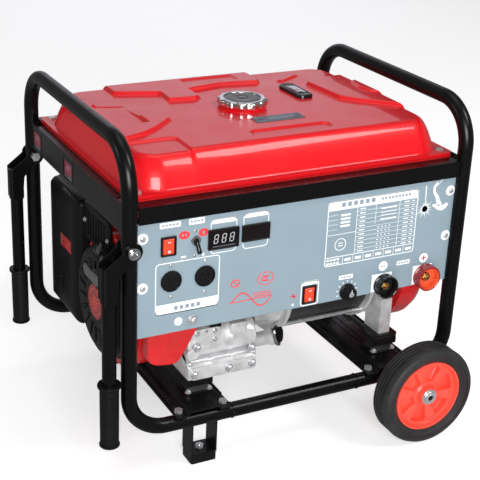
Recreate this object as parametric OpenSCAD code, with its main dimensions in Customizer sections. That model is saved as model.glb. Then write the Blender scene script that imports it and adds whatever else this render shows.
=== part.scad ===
// Open-frame engine driven welder: tube frame, engine, alternator, tank and control panel.
// Millimetres, +Z up. The parts are drawn from the left hoop's axis (x = 0), the front rail's axis
// (y = 0) and the ground (z = 0), and at_origin() moves the origin to the middle of the footprint.

/* [Frame] */
// Distance between the two end hoops, axis to axis
frame_l = 666; // [640:1:820]
// Distance between the front and back rails, axis to axis
frame_w = 512; // [500:1:640]
// Height of the hoops above the rails, axis to axis
hoop_h = 525; // [515:1:620]
// Outside diameter of the frame tube
tube_d = 28; // [25:0.5:34]
// Wall of the frame tube
tube_wall = 2; // [1.5:0.1:3]
// Bend radius at the top of a hoop
top_bend = 78; // [60:1:100]
// Bend radius where a hoop turns into a rail
foot_bend = 72; // [60:1:80]
// Distance of the weld seam from the hoop's axis
seam_x = 200; // [180:1:240]

/* [Cross members and feet] */
// Width of a cross member
member_w = 110; // [90:1:130]
// Sheet thickness of a cross member
member_t = 3; // [2:0.5:5]
// Height of a cross member's raised web
member_rise = 10; // [6:1:16]
// Distance of the left cross member's middle from the left hoop
left_member_x = 141; // [120:1:170]
// Distance of the right cross member's middle from the right hoop
right_member_x = 125; // [125:1:150]
// Thickness of a rubber foot
pad_h = 18; // [12:1:30]
// Width of a foot bracket
foot_w = 52; // [40:1:60]

/* [Wheels] */
// Outside diameter of a wheel
wheel_d = 200; // [180:1:240]
// Width of a wheel
wheel_w = 54; // [40:1:65]
// Diameter of the hub
hub_d = 144; // [120:1:155]
// Diameter of the axle
axle_d = 16; // [12:1:20]
// Distance of the axle from the right hoop
axle_inset = 78; // [70:1:110]
// Gap between a rail and the wheel's inner face
wheel_gap = 15; // [12:1:25]

/* [Handles] */
// Diameter of a handle tube
handle_d = 25; // [20:1:28]
// Distance of a handle's axis from the hoop's axis
handle_out = 36; // [36:1:45]
// Height of the handle pivots above the rails
pivot_h = 352; // [330:1:362]
// Length of a handle below its pivot
handle_len = 366; // [300:1:368]
// Length of a rubber grip
grip_len = 123; // [90:1:140]
// Diameter of a pivot bolt
pivot_d = 10; // [8:1:12]

/* [Tank] */
// Height of the tank's seam above the rails
seam_h = 427; // [425:1:440]
// Height of the tank's top above its seam
tank_rise = 61; // [50:1:66]
// Depth of the tank's lower pan below its seam
pan_depth = 56; // [30:1:57]
// Sheet thickness of the tank
tank_t = 1.5; // [1:0.1:2.5]
// Diameter of the fuel cap
cap_d = 96; // [80:1:110]

/* [Panel] */
// Height of the control panel
panel_h = 211; // [205:1:220]
// Sheet thickness of the panel and its box
panel_t = 1.5; // [1:0.1:3]
// Depth of the box behind the panel
box_depth = 41; // [36:1:42]

/* [Engine and alternator] */
// Distance of the crank's axis behind the front rail
crank_y = 172; // [170:1:185]
// Height of the crank's axis above the ground
crank_z = 299; // [297:1:303]
// Tilt of the cylinder above horizontal
cyl_tilt = 25; // [20:1:30]
// Diameter of the engine shaft
shaft_d = 30; // [25:1:32]
// Outside diameter of the alternator's stator
stator_d = 210; // [190:1:214]
// Air gap between rotor and stator
air_gap = 1.5; // [0.8:0.1:2]

/* [Fits] */
// Radial running clearance of shafts, axles and pivots
running = 0.05; // [0.02:0.01:0.1]
// Gap left between pieces that seat on each other
seat = 0.2; // [0.05:0.05:0.3]
// Clearance around a moving switch, knob or cap
free_gap = 0.5; // [0.3:0.1:1]

/* [Hidden] */
$fn = 48;
soft_fn = 32;
eps = 1;

// Frame
tube_r = tube_d / 2;
axle_z = wheel_d / 2;
rail_z = axle_z + axle_d / 2 + seat + tube_r;
rail_top = rail_z + tube_r;
hoop_z = rail_z + hoop_h;
pivot_z = rail_z + pivot_h;
seam_z = rail_z + seam_h;
handle_r = handle_d / 2;
grip_ring_r = 21;
grip_r = 16.5;
wheel_x = frame_l - axle_inset;
wheel_face = tube_r + wheel_gap + wheel_w;
mid_x = (wheel_x + wheel_d / 2 - handle_out - grip_ring_r) / 2;
mid_y = frame_w / 2;
member_x = [left_member_x, frame_l - right_member_x];
member_top = rail_top + member_rise;
member_flange = 22;
member_slope = 5;
member_overhang = 14;
frame_bolt_r = 4;
hole_gap = 0.2;

// Foot brackets
foot_x = left_member_x + 23;
foot_y = 51.5;
foot_depth = 41;
foot_t = 3;

// Axle brackets and wheels
bracket_t = 4;
bracket_w = 56;
hub_boss_r = 20;
collar_t = 7;
washer_t = 3;
hub_in = tube_r + wheel_gap - 4;
hub_out = wheel_face - collar_t - 3;

// Handles
ear_t = 3;
ear_r = 17;
sleeve_wall = 2.5;
sleeve_low = pivot_z - 88;
sleeve_high = pivot_z - 26;
handle_low = pivot_z - handle_len;

// Tank rails and tank
rail_leg = 30;
rail_shelf = 56;
rail_out = 8;
side_bar_t = 4;
side_bar_h = 52;
flange_t = 3;
tank_x0 = 10;
tank_x1 = frame_l - 10;
tank_y0 = 20;
tank_y1 = frame_w - 20;
tank_bolt_in = [20, 18];
rail_shelf_z = seam_z - flange_t;
cap_x = 330;
cap_y = 250;
cap_r = cap_d / 2;
neck_r = cap_r - 6;
neck_bore = neck_r - 12;
tank_top = seam_z + tank_rise + flange_t;
neck_top = tank_top + 9;
cap_top = neck_top + 9;

// Panel
panel_z1 = rail_shelf_z - rail_leg - seat;
panel_z0 = panel_z1 - panel_h;
panel_x0 = tube_r + 0.1;
panel_x1 = frame_l - panel_x0;
panel_screw_x = 9.5;
panel_screw_z = [28, 118];
box_side = 16;
box_drop = 10;

// Controls, as [x, height above the panel's lower edge]
engine_switch = [70, 164];
idle_switch = [350, 24];
selector_at = [119, 166];
meter_1 = [172, 162, 58, 37];
meter_2 = [234, 164, 54, 31];
sockets_at = [[76, 98], [139, 97]];
ground_at = [118, 17];
knob_at = [431, 14];
black_at = [511, 14];
red_at = [603, 16];
bezel = [28, 36];
bezel_rim = 3;
rocker_tilt = 8;
socket_r = 19.5;
socket_ear = 29;
knob_r = 16;
black_cup_r = 22;
red_cup_r = 25;
cup_depth = 15;
stud_r = 5;

// Engine
shaft_r = shaft_d / 2;
shaft_x0 = 60;
case_x0 = 125;
case_x1 = 262;
case_r = 95;
sump_y0 = 45;
sump_y1 = crank_y + 113;
sump_z = member_top + 39;
cyl_x = (case_x0 + case_x1) / 2;
bore_r = 34;
fin_pitch = 8;
head_at = 176;
head_len = 49;
head_w = 120;
blower_x0 = 40;
blower_r = 125;
blower_t = 2.5;
recoil_x0 = 4;
recoil_r = 105;
grip_y = crank_y - 22;
grip_z = crank_z + 67;
mount_y = [60, crank_y + 112];
mount_x = [left_member_x + 14, frame_l - right_member_x + 14];
mount_half = [18, 20];
plate_t = 4;
dip_at = [303, crank_y - 140, crank_z - 61];
dip_turn = [0, 70, -36];
dip_len = 60;

// Alternator
bell_x0 = case_x1 + seat;
stator_x0 = 352;
stator_x1 = 527;
bell_x1 = 590;
cover_x1 = 646;
cover_r = 128;
stator_r = stator_d / 2;
rotor_r = stator_r - 31.5;
bolt_ring = stator_r + 5.5;
flange_r = stator_r + 11;
bearing_r = 32;
bearing_x = [130, 242, 560];
bearing_w = 15;
adapter_x0 = bell_x0 + 8;
adapter_x1 = stator_x0 - 9;
adapter_r0 = 92;
adapter_r1 = stator_r - 3;
function adapter_r(x) = adapter_r0 + (adapter_r1 - adapter_r0) * (x - adapter_x0) / (adapter_x1 - adapter_x0);

// Carburettor, between the air filter and the head
carb_y = crank_y + (head_at + 24) * cos(cyl_tilt);
carb_z = crank_z + (head_at + 24) * sin(cyl_tilt);
carb_x0 = 95 + seat;
carb_x1 = cyl_x - head_w / 2 - seat;
lever_y = carb_y - 38;
lever_z = carb_z + 6;

// Fuel hose, from the tank's outlet to the carburettor
hose_r = 4;
hose_gap = 0.6;
hose_from = [112, carb_y - 8, seam_z - pan_depth - hose_gap];
hose_to = [112, carb_y, carb_z + 22 + hose_gap];
hose_rings = 14;

// Leads from the control box to the alternator's adapter
lead_r = 2.5;
lead_gap = 0.7;
lead_end_gap = 2.2;
lead_x = 284;
lead_y = 22;
lead_rings = 14;

module at_origin() {
    translate([-mid_x, -mid_y, 0]) children();
}

// Draws its children along +X, from a point.
module along_x(p) {
    translate(p) rotate([0, 90, 0]) children();
}

// Draws its children along +Y, from a point.
module along_y(p) {
    translate(p) rotate([-90, 0, 0]) children();
}

// Draws its children at the front and again, mirrored, at the back.
module front_and_back() {
    children();
    translate([0, frame_w, 0]) mirror([0, 1, 0]) children();
}

// Draws its children at the back only, as the mirror image of the front.
module at_back() {
    translate([0, frame_w, 0]) mirror([0, 1, 0]) children();
}

// Draws its children standing out of the panel's face, at [x, height above its lower edge].
module on_panel(at) {
    translate([at[0], 0, panel_z0 + at[1]]) rotate([90, 0, 0]) children();
}

// Draws its children with +Y along the cylinder, from the crank's axis.
module at_cylinder() {
    translate([cyl_x, crank_y, crank_z]) rotate([cyl_tilt, 0, 0]) children();
}

// Draws its children with +Z along the oil filler, from the cap's seat.
module at_dipstick() {
    translate(dip_at) rotate(dip_turn) children();
}

module block(lo, hi) {
    translate(lo) cube(hi - lo);
}

module ring(outer, inner, h) {
    difference() {
        cylinder(r = outer, h = h);
        translate([0, 0, -eps]) cylinder(r = inner, h = h + 2 * eps);
    }
}

module rounded_rect(size, r) {
    square([size[0] - 2 * r, size[1]], center = true);
    square([size[0], size[1] - 2 * r], center = true);
    for (sx = [-1, 1], sy = [-1, 1])
        translate([sx * (size[0] / 2 - r), sy * (size[1] / 2 - r)]) circle(r);
}

// A block with rounded upright edges, from corner lo to corner hi.
module rounded_block(lo, hi, r) {
    translate([(lo[0] + hi[0]) / 2, (lo[1] + hi[1]) / 2, lo[2]])
        linear_extrude(hi[2] - lo[2]) rounded_rect([hi[0] - lo[0], hi[1] - lo[1]], r);
}

// A hexagon bolt head or nut, r across corners.
module hex(r, h) {
    cylinder(r = r, h = h, $fn = 6);
}

// A round rod of radius r swept along points, as one closed polyhedron.
module rod(points, r, sides) {
    n = len(points);
    function dir(i) = let(d = points[min(i + 1, n - 1)] - points[max(i - 1, 0)]) d / norm(d);
    function side_of(d) = let(s = cross(d, [1, 0, 0])) s / norm(s);
    verts = [for (i = [0:n - 1], k = [0:sides - 1])
        let(d = dir(i), s = side_of(d), u = cross(s, d), a = 360 * k / sides)
        points[i] + r * (cos(a) * s + sin(a) * u)];
    walls = [for (i = [0:n - 2], k = [0:sides - 1])
        let(a = i * sides + k, b = i * sides + (k + 1) % sides)
        [a, b, b + sides, a + sides]];
    first = [for (k = [0:sides - 1]) sides - 1 - k];
    last = [for (k = [0:sides - 1]) (n - 1) * sides + k];
    polyhedron(points = verts, faces = concat(walls, [first, last]), convexity = 4);
}

// ---- Frame ----

module tube_run(length) {
    ring(tube_r, tube_r - tube_wall, length);
}

module tube_bend(r) {
    rotate_extrude(angle = 90) translate([r, 0]) difference() {
        circle(tube_r);
        circle(tube_r - tube_wall);
    }
}

// One end hoop with the stubs of both rails, standing at x = 0 with its rails running along +X.
module hoop() {
    front_and_back() {
        translate([0, 0, rail_z + foot_bend]) tube_run(hoop_h - top_bend - foot_bend);
        translate([0, top_bend, hoop_z - top_bend]) rotate([90, 0, -90]) tube_bend(top_bend);
        translate([foot_bend, 0, rail_z + foot_bend]) rotate([90, 180, 0]) tube_bend(foot_bend);
        along_x([foot_bend, 0, rail_z]) tube_run(seam_x - foot_bend);
    }
    along_y([0, top_bend, hoop_z]) tube_run(frame_w - 2 * top_bend);
}

module left_hoop() {
    color("#151517") at_origin() difference() {
        hoop();
        front_and_back() along_y([0, -tube_d, pivot_z])
            cylinder(d = pivot_d + 2 * hole_gap, h = 2 * tube_d);
    }
}

module right_hoop() {
    color("#151517") at_origin() translate([frame_l, 0, 0]) mirror([1, 0, 0]) hoop();
}

module frame_rails() {
    color("#151517") at_origin() front_and_back()
        along_x([seam_x, 0, rail_z]) tube_run(frame_l - 2 * seam_x);
}

module member_profile() {
    half = member_w / 2;
    knee = half - member_flange;
    web = knee - member_slope;
    polygon([[-half, 0], [-knee, 0], [-web, member_rise - member_t], [web, member_rise - member_t],
        [knee, 0], [half, 0], [half, member_t], [knee, member_t], [web, member_rise],
        [-web, member_rise], [-knee, member_t], [-half, member_t]]);
}

module member_holes() {
    for (x = member_x, side = [-1, 1]) front_and_back()
        translate([x + side * (member_w - member_flange) / 2, 4, rail_top - eps])
            cylinder(r = frame_bolt_r + hole_gap, h = member_t + 2 * eps);
}

module cross_members() {
    color("#1b1b1d") at_origin() difference() {
        for (x = member_x)
            translate([x, frame_w + member_overhang, rail_top + seat / 2]) rotate([90, 0, 0])
                linear_extrude(frame_w + 2 * member_overhang) member_profile();
        member_holes();
    }
}

module tank_rails() {
    color("#151517") at_origin() {
        // Front and back angle rails between the hoops' uprights
        front_and_back() difference() {
            union() {
                block([panel_x0, -rail_out, rail_shelf_z - rail_leg],
                    [panel_x1, -rail_out + flange_t, rail_shelf_z]);
                block([panel_x0, -rail_out, rail_shelf_z - flange_t],
                    [panel_x1, rail_shelf - rail_out, rail_shelf_z]);
            }
            tank_bolt_holes();
        }
        // Side bars with an inward shelf and a tab on each upright
        for (end = [0, 1]) translate([end * frame_l, 0, 0]) mirror([end, 0, 0]) {
            block([-tube_r + 8, 18 + side_bar_t, rail_shelf_z - side_bar_h],
                [-tube_r + 8 + side_bar_t, frame_w - 18 - side_bar_t, rail_shelf_z]);
            block([-tube_r + 8, rail_shelf - rail_out + 4, rail_shelf_z - flange_t],
                [rail_shelf - rail_out - 8, frame_w - rail_shelf + rail_out - 4, rail_shelf_z]);
            front_and_back() {
                block([-tube_r + 8, 18, rail_shelf_z - side_bar_h],
                    [tube_r - 6, 18 + side_bar_t, rail_shelf_z]);
                block([2, tube_r - 0.05, rail_shelf_z - side_bar_h],
                    [tube_r - 6, 18 + side_bar_t, rail_shelf_z - flange_t - 2]);
            }
        }
    }
}

// Window brackets that stand on the feet, and plates that carry the axle.
module frame_brackets() {
    color("#1b1b1d") at_origin() front_and_back() {
        difference() {
            block([foot_x - foot_w / 2, foot_y - foot_depth / 2, pad_h + seat],
                [foot_x + foot_w / 2, foot_y + foot_depth / 2, rail_top]);
            block([foot_x - foot_w / 2 + foot_t, foot_y - foot_depth, pad_h + seat + foot_t],
                [foot_x + foot_w / 2 - foot_t, foot_y + foot_depth, rail_top - foot_t]);
            translate([foot_x, foot_y, 0]) cylinder(r = frame_bolt_r + hole_gap, h = 2 * pad_h);
        }
        difference() {
            block([wheel_x - bracket_w / 2, -tube_r - seat - bracket_t, axle_z - 18],
                [wheel_x + bracket_w / 2, -tube_r - seat, rail_z + 8]);
            along_y([wheel_x, -2 * tube_r, axle_z])
                cylinder(d = axle_d + 2 * hole_gap, h = 2 * tube_r);
        }
    }
}

module foot_pads() {
    color("#222224") at_origin() front_and_back() translate([foot_x, foot_y, 0]) difference() {
        rounded_block([-foot_w / 2, -foot_depth / 2, 0], [foot_w / 2, foot_depth / 2, pad_h], 4);
        translate([0, 0, pad_h / 2]) cylinder(r = frame_bolt_r + hole_gap, h = pad_h);
    }
}

module axle() {
    color("silver") at_origin() {
        along_y([wheel_x, -wheel_face + 3, axle_z])
            cylinder(d = axle_d, h = frame_w + 2 * wheel_face - 6);
        front_and_back() {
            along_y([wheel_x, -wheel_face + 2, axle_z])
                ring(hub_boss_r - 8, axle_d / 2 + 0.02, collar_t);
            along_y([wheel_x, -hub_in + seat, axle_z]) ring(hub_boss_r - 4, axle_d / 2 + 0.02, washer_t);
        }
    }
}

// ---- Wheels ----

module wheel_turned() {
    along_y([wheel_x, -wheel_face, axle_z]) rotate_extrude($fn = 96) children();
}

module tyre_profile() {
    r = wheel_d / 2;
    in_r = hub_d / 2 + 0.02;
    difference() {
        polygon([[in_r, 8], [in_r + 4, 5], [r - 14, 1], [r - 8, 0], [r - 3, 4], [r, 10],
            [r, wheel_w - 10], [r - 3, wheel_w - 4], [r - 8, wheel_w], [r - 14, wheel_w - 1],
            [in_r + 4, wheel_w - 5], [in_r, wheel_w - 8]]);
        // Tread grooves
        for (z = [16, 27, 38]) translate([r - 3, z - 1.5]) square([6, 3]);
    }
}

// Rim, dished web and boss in one turned shape, with blind pockets in the web's face.
module hub_body() {
    bore = axle_d / 2 + running;
    rim = hub_d / 2 - 7;
    face = wheel_face - hub_out;
    difference() {
        wheel_turned() polygon([[bore, face], [hub_boss_r, face], [hub_boss_r, 16], [rim, 12], [rim, 8],
            [hub_d / 2, 8], [hub_d / 2, wheel_w - 8], [rim, wheel_w - 8], [rim, 28], [hub_boss_r, 28],
            [hub_boss_r, wheel_face - hub_in], [bore, wheel_face - hub_in]]);
        for (k = [0:5]) along_y([wheel_x, -wheel_face, axle_z]) rotate([0, 0, 60 * k])
            translate([(hub_boss_r + rim) / 2, 0, 4]) cylinder(r = 15, h = 17);
    }
}

module front_tyre() {
    color("#2a2a2c") at_origin() wheel_turned() tyre_profile();
}

module front_hub() {
    color("#ff5545") at_origin() hub_body();
}

module back_tyre() {
    color("#2a2a2c") at_origin() at_back() wheel_turned() tyre_profile();
}

module back_hub() {
    color("#ff5545") at_origin() at_back() hub_body();
}

// ---- Handles ----

module handle_ear() {
    translate([0, ear_t, 0]) rotate([90, 0, 0]) linear_extrude(ear_t) difference() {
        union() {
            translate([0, pivot_z]) circle(ear_r);
            polygon([[-ear_r, pivot_z], [-handle_out - handle_r, sleeve_high + 2],
                [-handle_out - handle_r, sleeve_low], [-handle_out + handle_r - 4, sleeve_low],
                [-handle_out + handle_r, sleeve_high - 14], [0, pivot_z - ear_r],
                [0, pivot_z]]);
        }
        translate([0, pivot_z]) circle(pivot_d / 2 + running);
    }
}

module handle() {
    ear_y = tube_r + 0.3;
    translate([0, ear_y, 0]) handle_ear();
    translate([0, -ear_y - ear_t, 0]) handle_ear();
    difference() {
        union() {
            translate([-handle_out, 0, sleeve_low])
                cylinder(r = handle_r + sleeve_wall, h = sleeve_high - sleeve_low);
            block([-handle_out - 3, -ear_y - 1, sleeve_low], [-handle_out + 3, ear_y + 1, sleeve_high]);
        }
        translate([-handle_out, 0, sleeve_low - eps])
            cylinder(r = handle_r - 2, h = sleeve_high - sleeve_low - 3);
    }
    translate([-handle_out, 0, handle_low]) ring(handle_r, handle_r - 2, sleeve_high - handle_low - 6);
}

module grip() {
    rib = 6;
    translate([-handle_out, 0, handle_low - 1.5]) difference() {
        union() {
            cylinder(r = grip_r - 1, h = grip_len);
            for (k = [0:floor(grip_len / rib) - 2]) translate([0, 0, 2 + k * rib])
                cylinder(r = grip_r, h = rib / 2);
            translate([0, 0, grip_len - 5]) cylinder(r = grip_ring_r, h = 5);
        }
        translate([0, 0, 1.5]) cylinder(r = handle_r + 0.02, h = grip_len);
    }
}

module front_handle() {
    color("#151517") at_origin() handle();
}

module front_grip() {
    color("#242426") at_origin() grip();
}

module back_handle() {
    color("#151517") at_origin() at_back() handle();
}

module back_grip() {
    color("#242426") at_origin() at_back() grip();
}

module tank_bolt_at() {
    for (end = [0, 1]) translate([end * frame_l, 0, 0]) mirror([end, 0, 0])
        translate([tank_x0 + tank_bolt_in[0], tank_y0 + tank_bolt_in[1], 0]) children();
}

module tank_bolt_holes() {
    tank_bolt_at() translate([0, 0, rail_shelf_z - 2 * flange_t])
        cylinder(r = frame_bolt_r + hole_gap, h = 5 * flange_t);
}

module frame_bolts() {
    color("silver") at_origin() front_and_back() {
        // Handle pivots
        along_y([0, -tube_r - 6, pivot_z]) cylinder(d = pivot_d, h = tube_d + 14);
        along_y([0, -tube_r - 9, pivot_z]) cylinder(r = 9, h = 4.8);
        along_y([0, tube_r + 4.2, pivot_z]) hex(9, 5);
        // Cross member bolts
        for (x = member_x, side = [-1, 1])
            translate([x + side * (member_w - member_flange) / 2, 4, rail_top + seat]) {
                cylinder(r = frame_bolt_r, h = 6);
                translate([0, 0, member_t + 0.05]) hex(8, 5.5);
            }
        // Tank bolts on washers
        tank_bolt_at() {
            translate([0, 0, rail_shelf_z - flange_t]) cylinder(r = frame_bolt_r, h = 12);
            translate([0, 0, rail_shelf_z + 2 * flange_t + seat]) cylinder(r = 10, h = 1.5);
            translate([0, 0, rail_shelf_z + 2 * flange_t + seat + 1.5]) hex(7.5, 5);
        }
        // Foot bolts
        translate([foot_x, foot_y, pad_h / 2 + 2]) cylinder(r = frame_bolt_r, h = pad_h / 2 + 8);
        translate([foot_x, foot_y, pad_h + seat + foot_t + 0.05]) hex(8, 5.5);
    }
}

// ---- Tank ----

// One level of the tank, at a height above its seam and an inset from its flange.
module tank_level(lift, inset, r) {
    translate([0, 0, seam_z + lift])
        rounded_block([tank_x0 + inset, tank_y0 + 1.3 * inset, 0],
            [tank_x1 - inset, tank_y1 - 1.3 * inset, 0.1], r, $fn = soft_fn);
}

module tank_form(thin) {
    hull() {
        tank_level(flange_t / 2, 12 + thin, 60);
        tank_level(0.35 * tank_rise, 16 + thin, 58);
        tank_level(0.8 * tank_rise - thin, 28 + thin, 52);
        tank_level(tank_rise + flange_t - 0.1 - thin, 40 + thin, 44);
    }
}

module tank_shell() {
    color("#c8102a") at_origin() difference() {
        union() {
            tank_form(0);
            rounded_block([tank_x0, tank_y0, seam_z], [tank_x1, tank_y1, seam_z + flange_t], 12);
        }
        difference() {
            tank_form(tank_t);
            block([0, 0, seam_z - eps], [frame_l, frame_w, seam_z + flange_t / 2 + 0.1]);
        }
        tank_opening();
        translate([cap_x, cap_y, tank_top - 3 * tank_t])
            cylinder(r = neck_r - 4 + seat, h = 5 * tank_t);
        front_and_back() tank_bolt_holes();
    }
}

// The hollow of the tank where its two halves meet.
module tank_opening() {
    rounded_block([tank_x0 + 40, tank_y0 + 48, seam_z - 2 * flange_t],
        [tank_x1 - 40, tank_y1 - 48, seam_z + flange_t], 20);
}

module tank_pan() {
    color("#b00e25") at_origin() difference() {
        union() {
            rounded_block([tank_x0 + 36, tank_y0 + 44, seam_z - pan_depth],
                [tank_x1 - 36, tank_y1 - 44, seam_z - flange_t], 24);
            rounded_block([tank_x0, tank_y0, seam_z - flange_t], [tank_x1, tank_y1, seam_z], 12);
        }
        rounded_block([tank_x0 + 36 + tank_t, tank_y0 + 44 + tank_t, seam_z - pan_depth + tank_t],
            [tank_x1 - 36 - tank_t, tank_y1 - 44 - tank_t, seam_z + eps], 23);
        front_and_back() tank_bolt_holes();
    }
}

module filler_neck() {
    color("#c8102a") at_origin() translate([cap_x, cap_y, 0]) {
        translate([0, 0, tank_top + 0.1]) ring(neck_r, neck_bore, neck_top - tank_top - 0.1);
        translate([0, 0, tank_top - 16]) ring(neck_r - 4, neck_bore, 16.1);
    }
}

module fuel_cap() {
    color("#9aa0a4") at_origin() translate([cap_x, cap_y, 0]) {
        translate([0, 0, neck_top + seat]) cylinder(r = cap_r, h = cap_top - neck_top - seat);
        translate([0, 0, neck_top - 5]) ring(cap_r, neck_r + free_gap, 5 + seat);
        translate([0, 0, neck_top - 12]) cylinder(r = neck_bore - free_gap, h = 12 + seat);
        // Finger lugs around the rim
        for (k = [0:11]) rotate([0, 0, 30 * k]) translate([cap_r - 1, -2, neck_top - 5])
            cube([1.8, 4, cap_top - neck_top + 3]);
    }
}

module fuel_gauge() {
    color("#101012") at_origin()
        translate([472, 296, tank_top + 0.1]) linear_extrude(7) rounded_rect([34, 92], 12);
}

// ---- Panel ----

module panel_cuts() {
    for (at = [engine_switch, idle_switch])
        on_panel(at) translate([0, 0, -2 * panel_t])
            linear_extrude(3 * panel_t) square(bezel - [3, 3], center = true);
    for (m = [meter_1, meter_2]) on_panel([m[0], m[1]]) translate([0, 0, -2 * panel_t])
        linear_extrude(3 * panel_t) square([m[2] - 4, m[3] - 4], center = true);
    for (at = sockets_at) on_panel(at) {
        translate([0, 0, -2 * panel_t]) cylinder(r = socket_r - 2, h = 3 * panel_t);
        for (s = [-1, 1]) translate([0, s * socket_ear, -2 * panel_t])
            cylinder(r = 2.2, h = 3 * panel_t);
    }
    on_panel(selector_at) translate([0, 0, -2 * panel_t]) cylinder(r = 8, h = 3 * panel_t);
    on_panel(ground_at) translate([0, 0, -2 * panel_t]) cylinder(r = 4.2, h = 3 * panel_t);
    on_panel(knob_at) translate([0, 0, -2 * panel_t]) cylinder(r = 5, h = 3 * panel_t);
    for (at = [black_at, red_at])
        on_panel(at) translate([0, 0, -2 * panel_t]) cylinder(r = 12.2, h = 3 * panel_t);
}

module panel_screw_at() {
    for (end = [0, 1], z = panel_screw_z)
        on_panel([end == 0 ? panel_x0 + panel_screw_x : panel_x1 - panel_screw_x, panel_h - z])
            children();
}

module control_panel() {
    color("#a5bec8") at_origin() difference() {
        block([panel_x0, 0, panel_z0], [panel_x1, panel_t, panel_z1]);
        panel_cuts();
        panel_screw_at() translate([0, 0, -2 * panel_t]) cylinder(r = 3.2, h = 3 * panel_t);
    }
}

module control_box() {
    lo = [panel_x0 + box_side, panel_t + 0.02, panel_z0];
    hi = [panel_x1 - box_side, box_depth, panel_z1 - box_drop];
    wall = [panel_t, 0, panel_t];
    color("#2b2d30") at_origin() difference() {
        block(lo, hi);
        block(lo + wall - [0, eps, 0], hi - wall - [0, panel_t, 0]);
        // Outlets for the leads at the bottom
        for (k = [-1, 1]) translate([lead_x + 7 * k, lead_y, panel_z0 - eps])
            cylinder(r = lead_r + lead_gap, h = 3 * panel_t);
    }
}

module panel_screws() {
    color("#d8dcde") at_origin() panel_screw_at() {
        translate([0, 0, 0.05]) ring(7, 3.05, 1.5);
        translate([0, 0, 1.6]) cylinder(r1 = 5, r2 = 3.5, h = 2.4);
        translate([0, 0, -7]) cylinder(r = 3, h = 8.7);
    }
}

module rocker_frame() {
    translate([0, 0, 0.05]) linear_extrude(3) difference() {
        rounded_rect(bezel, 2);
        square(bezel - 2 * [bezel_rim, bezel_rim], center = true);
    }
    translate([0, 0, -24]) linear_extrude(24.1) difference() {
        square(bezel - [3.4, 3.4], center = true);
        square(bezel - 2 * [bezel_rim, bezel_rim], center = true);
    }
    translate([0, 0, -27]) linear_extrude(3) square(bezel - [3.4, 3.4], center = true);
    // Pin that the rocker turns on
    translate([-bezel[0] / 2 + 2, 0, -6]) rotate([0, 90, 0]) cylinder(r = 1.5, h = bezel[0] - 4);
}

module rocker(at) {
    w = bezel[0] / 2 - bezel_rim - free_gap;
    h = bezel[1] / 2 - bezel_rim - 1.2;
    on_panel(at) translate([0, 0, -6]) rotate([rocker_tilt, 0, 0]) difference() {
        translate([-w, 0, 0]) rotate([90, 0, 90]) linear_extrude(2 * w)
            polygon([[-h + 2, -9], [h - 2, -9], [h, 4], [h, 9.5], [0, 7], [-h, 9.5], [-h, 4]]);
        translate([-2 * w, 0, 0]) rotate([0, 90, 0]) cylinder(r = 1.5 + running, h = 4 * w);
    }
}

module switch_bodies() {
    color("#161618") at_origin() {
        for (at = [engine_switch, idle_switch]) on_panel(at) rocker_frame();
        // Change-over switch: face plate, threaded bush and body
        on_panel(selector_at) difference() {
            union() {
                translate([0, 0, 0.05]) linear_extrude(2) rounded_rect([20, 56], 3);
                translate([0, 0, -22]) cylinder(r = 7.8, h = 22.1);
                translate([0, 0, 1]) cylinder(r = 7.5, h = 5);
            }
            translate([0, 0, -8]) cylinder(r1 = 2, r2 = 7, h = 16);
        }
        on_panel(selector_at) for (s = [-1, 1]) translate([0, 23 * s, 2.1])
            cylinder(r = 3.5, h = 1.6);
    }
}

module engine_rocker() {
    color("#ee3322") at_origin() rocker(engine_switch);
}

module idle_rocker() {
    color("#ff5a2a") at_origin() rocker(idle_switch);
}

module selector_lever() {
    color("#202022") at_origin() on_panel(selector_at) {
        translate([0, 0, -3]) sphere(r = 2.6);
        // Pivot pin, across the way that the lever swings
        translate([0, 0, -3]) rotate([90, 0, 0]) cylinder(r = 1, h = 6, center = true);
        translate([0, 0, -3]) cylinder(r = 1.8, h = 15);
        translate([0, 0, 11]) cylinder(r1 = 3, r2 = 4, h = 11);
        translate([0, 0, 22]) sphere(r = 4);
    }
}

module meters() {
    color("#0c0c0e") at_origin() for (m = [meter_1, meter_2]) on_panel([m[0], m[1]]) {
        translate([0, 0, -20]) linear_extrude(20.1) square([m[2] - 4.4, m[3] - 4.4], center = true);
        translate([0, 0, 0.05]) linear_extrude(3.5) difference() {
            rounded_rect([m[2], m[3]], 1.5);
            square([m[2] - 6, m[3] - 6], center = true);
        }
        translate([0, 0, 0.05]) linear_extrude(1.5) square([m[2] - 5, m[3] - 5], center = true);
    }
}

module ac_sockets() {
    color("#121214") at_origin() for (at = sockets_at) on_panel(at) {
        difference() {
            union() {
                translate([0, 0, 0.05]) cylinder(r = socket_r, h = 5);
                translate([0, 0, -28]) cylinder(r = socket_r - 2.3, h = 28.1);
            }
            // Two blade slots and the earth hole
            for (s = [-1, 1]) translate([s * 6.5 - 1.2, -1, -14]) cube([2.4, 8, 20]);
            translate([0, -8, -14]) cylinder(r = 2.6, h = 20);
        }
        for (s = [-1, 1]) translate([0, s * socket_ear, 0]) {
            translate([0, 0, 0.05]) cylinder(r = 4.2, h = 2);
            translate([0, 0, -6]) cylinder(r = 2, h = 6.1);
        }
    }
}

module current_knob() {
    color("#141416") at_origin() on_panel(knob_at) {
        translate([0, 0, free_gap]) cylinder(r1 = knob_r, r2 = knob_r - 1, h = 5);
        translate([0, 0, free_gap + 5]) cylinder(r1 = knob_r - 4, r2 = knob_r - 5, h = 12);
        translate([-1.2, 0, free_gap + 5]) cube([2.4, knob_r - 2, 12.5]);
        translate([0, 0, -10]) cylinder(r = 3, h = 11);
    }
}

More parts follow.
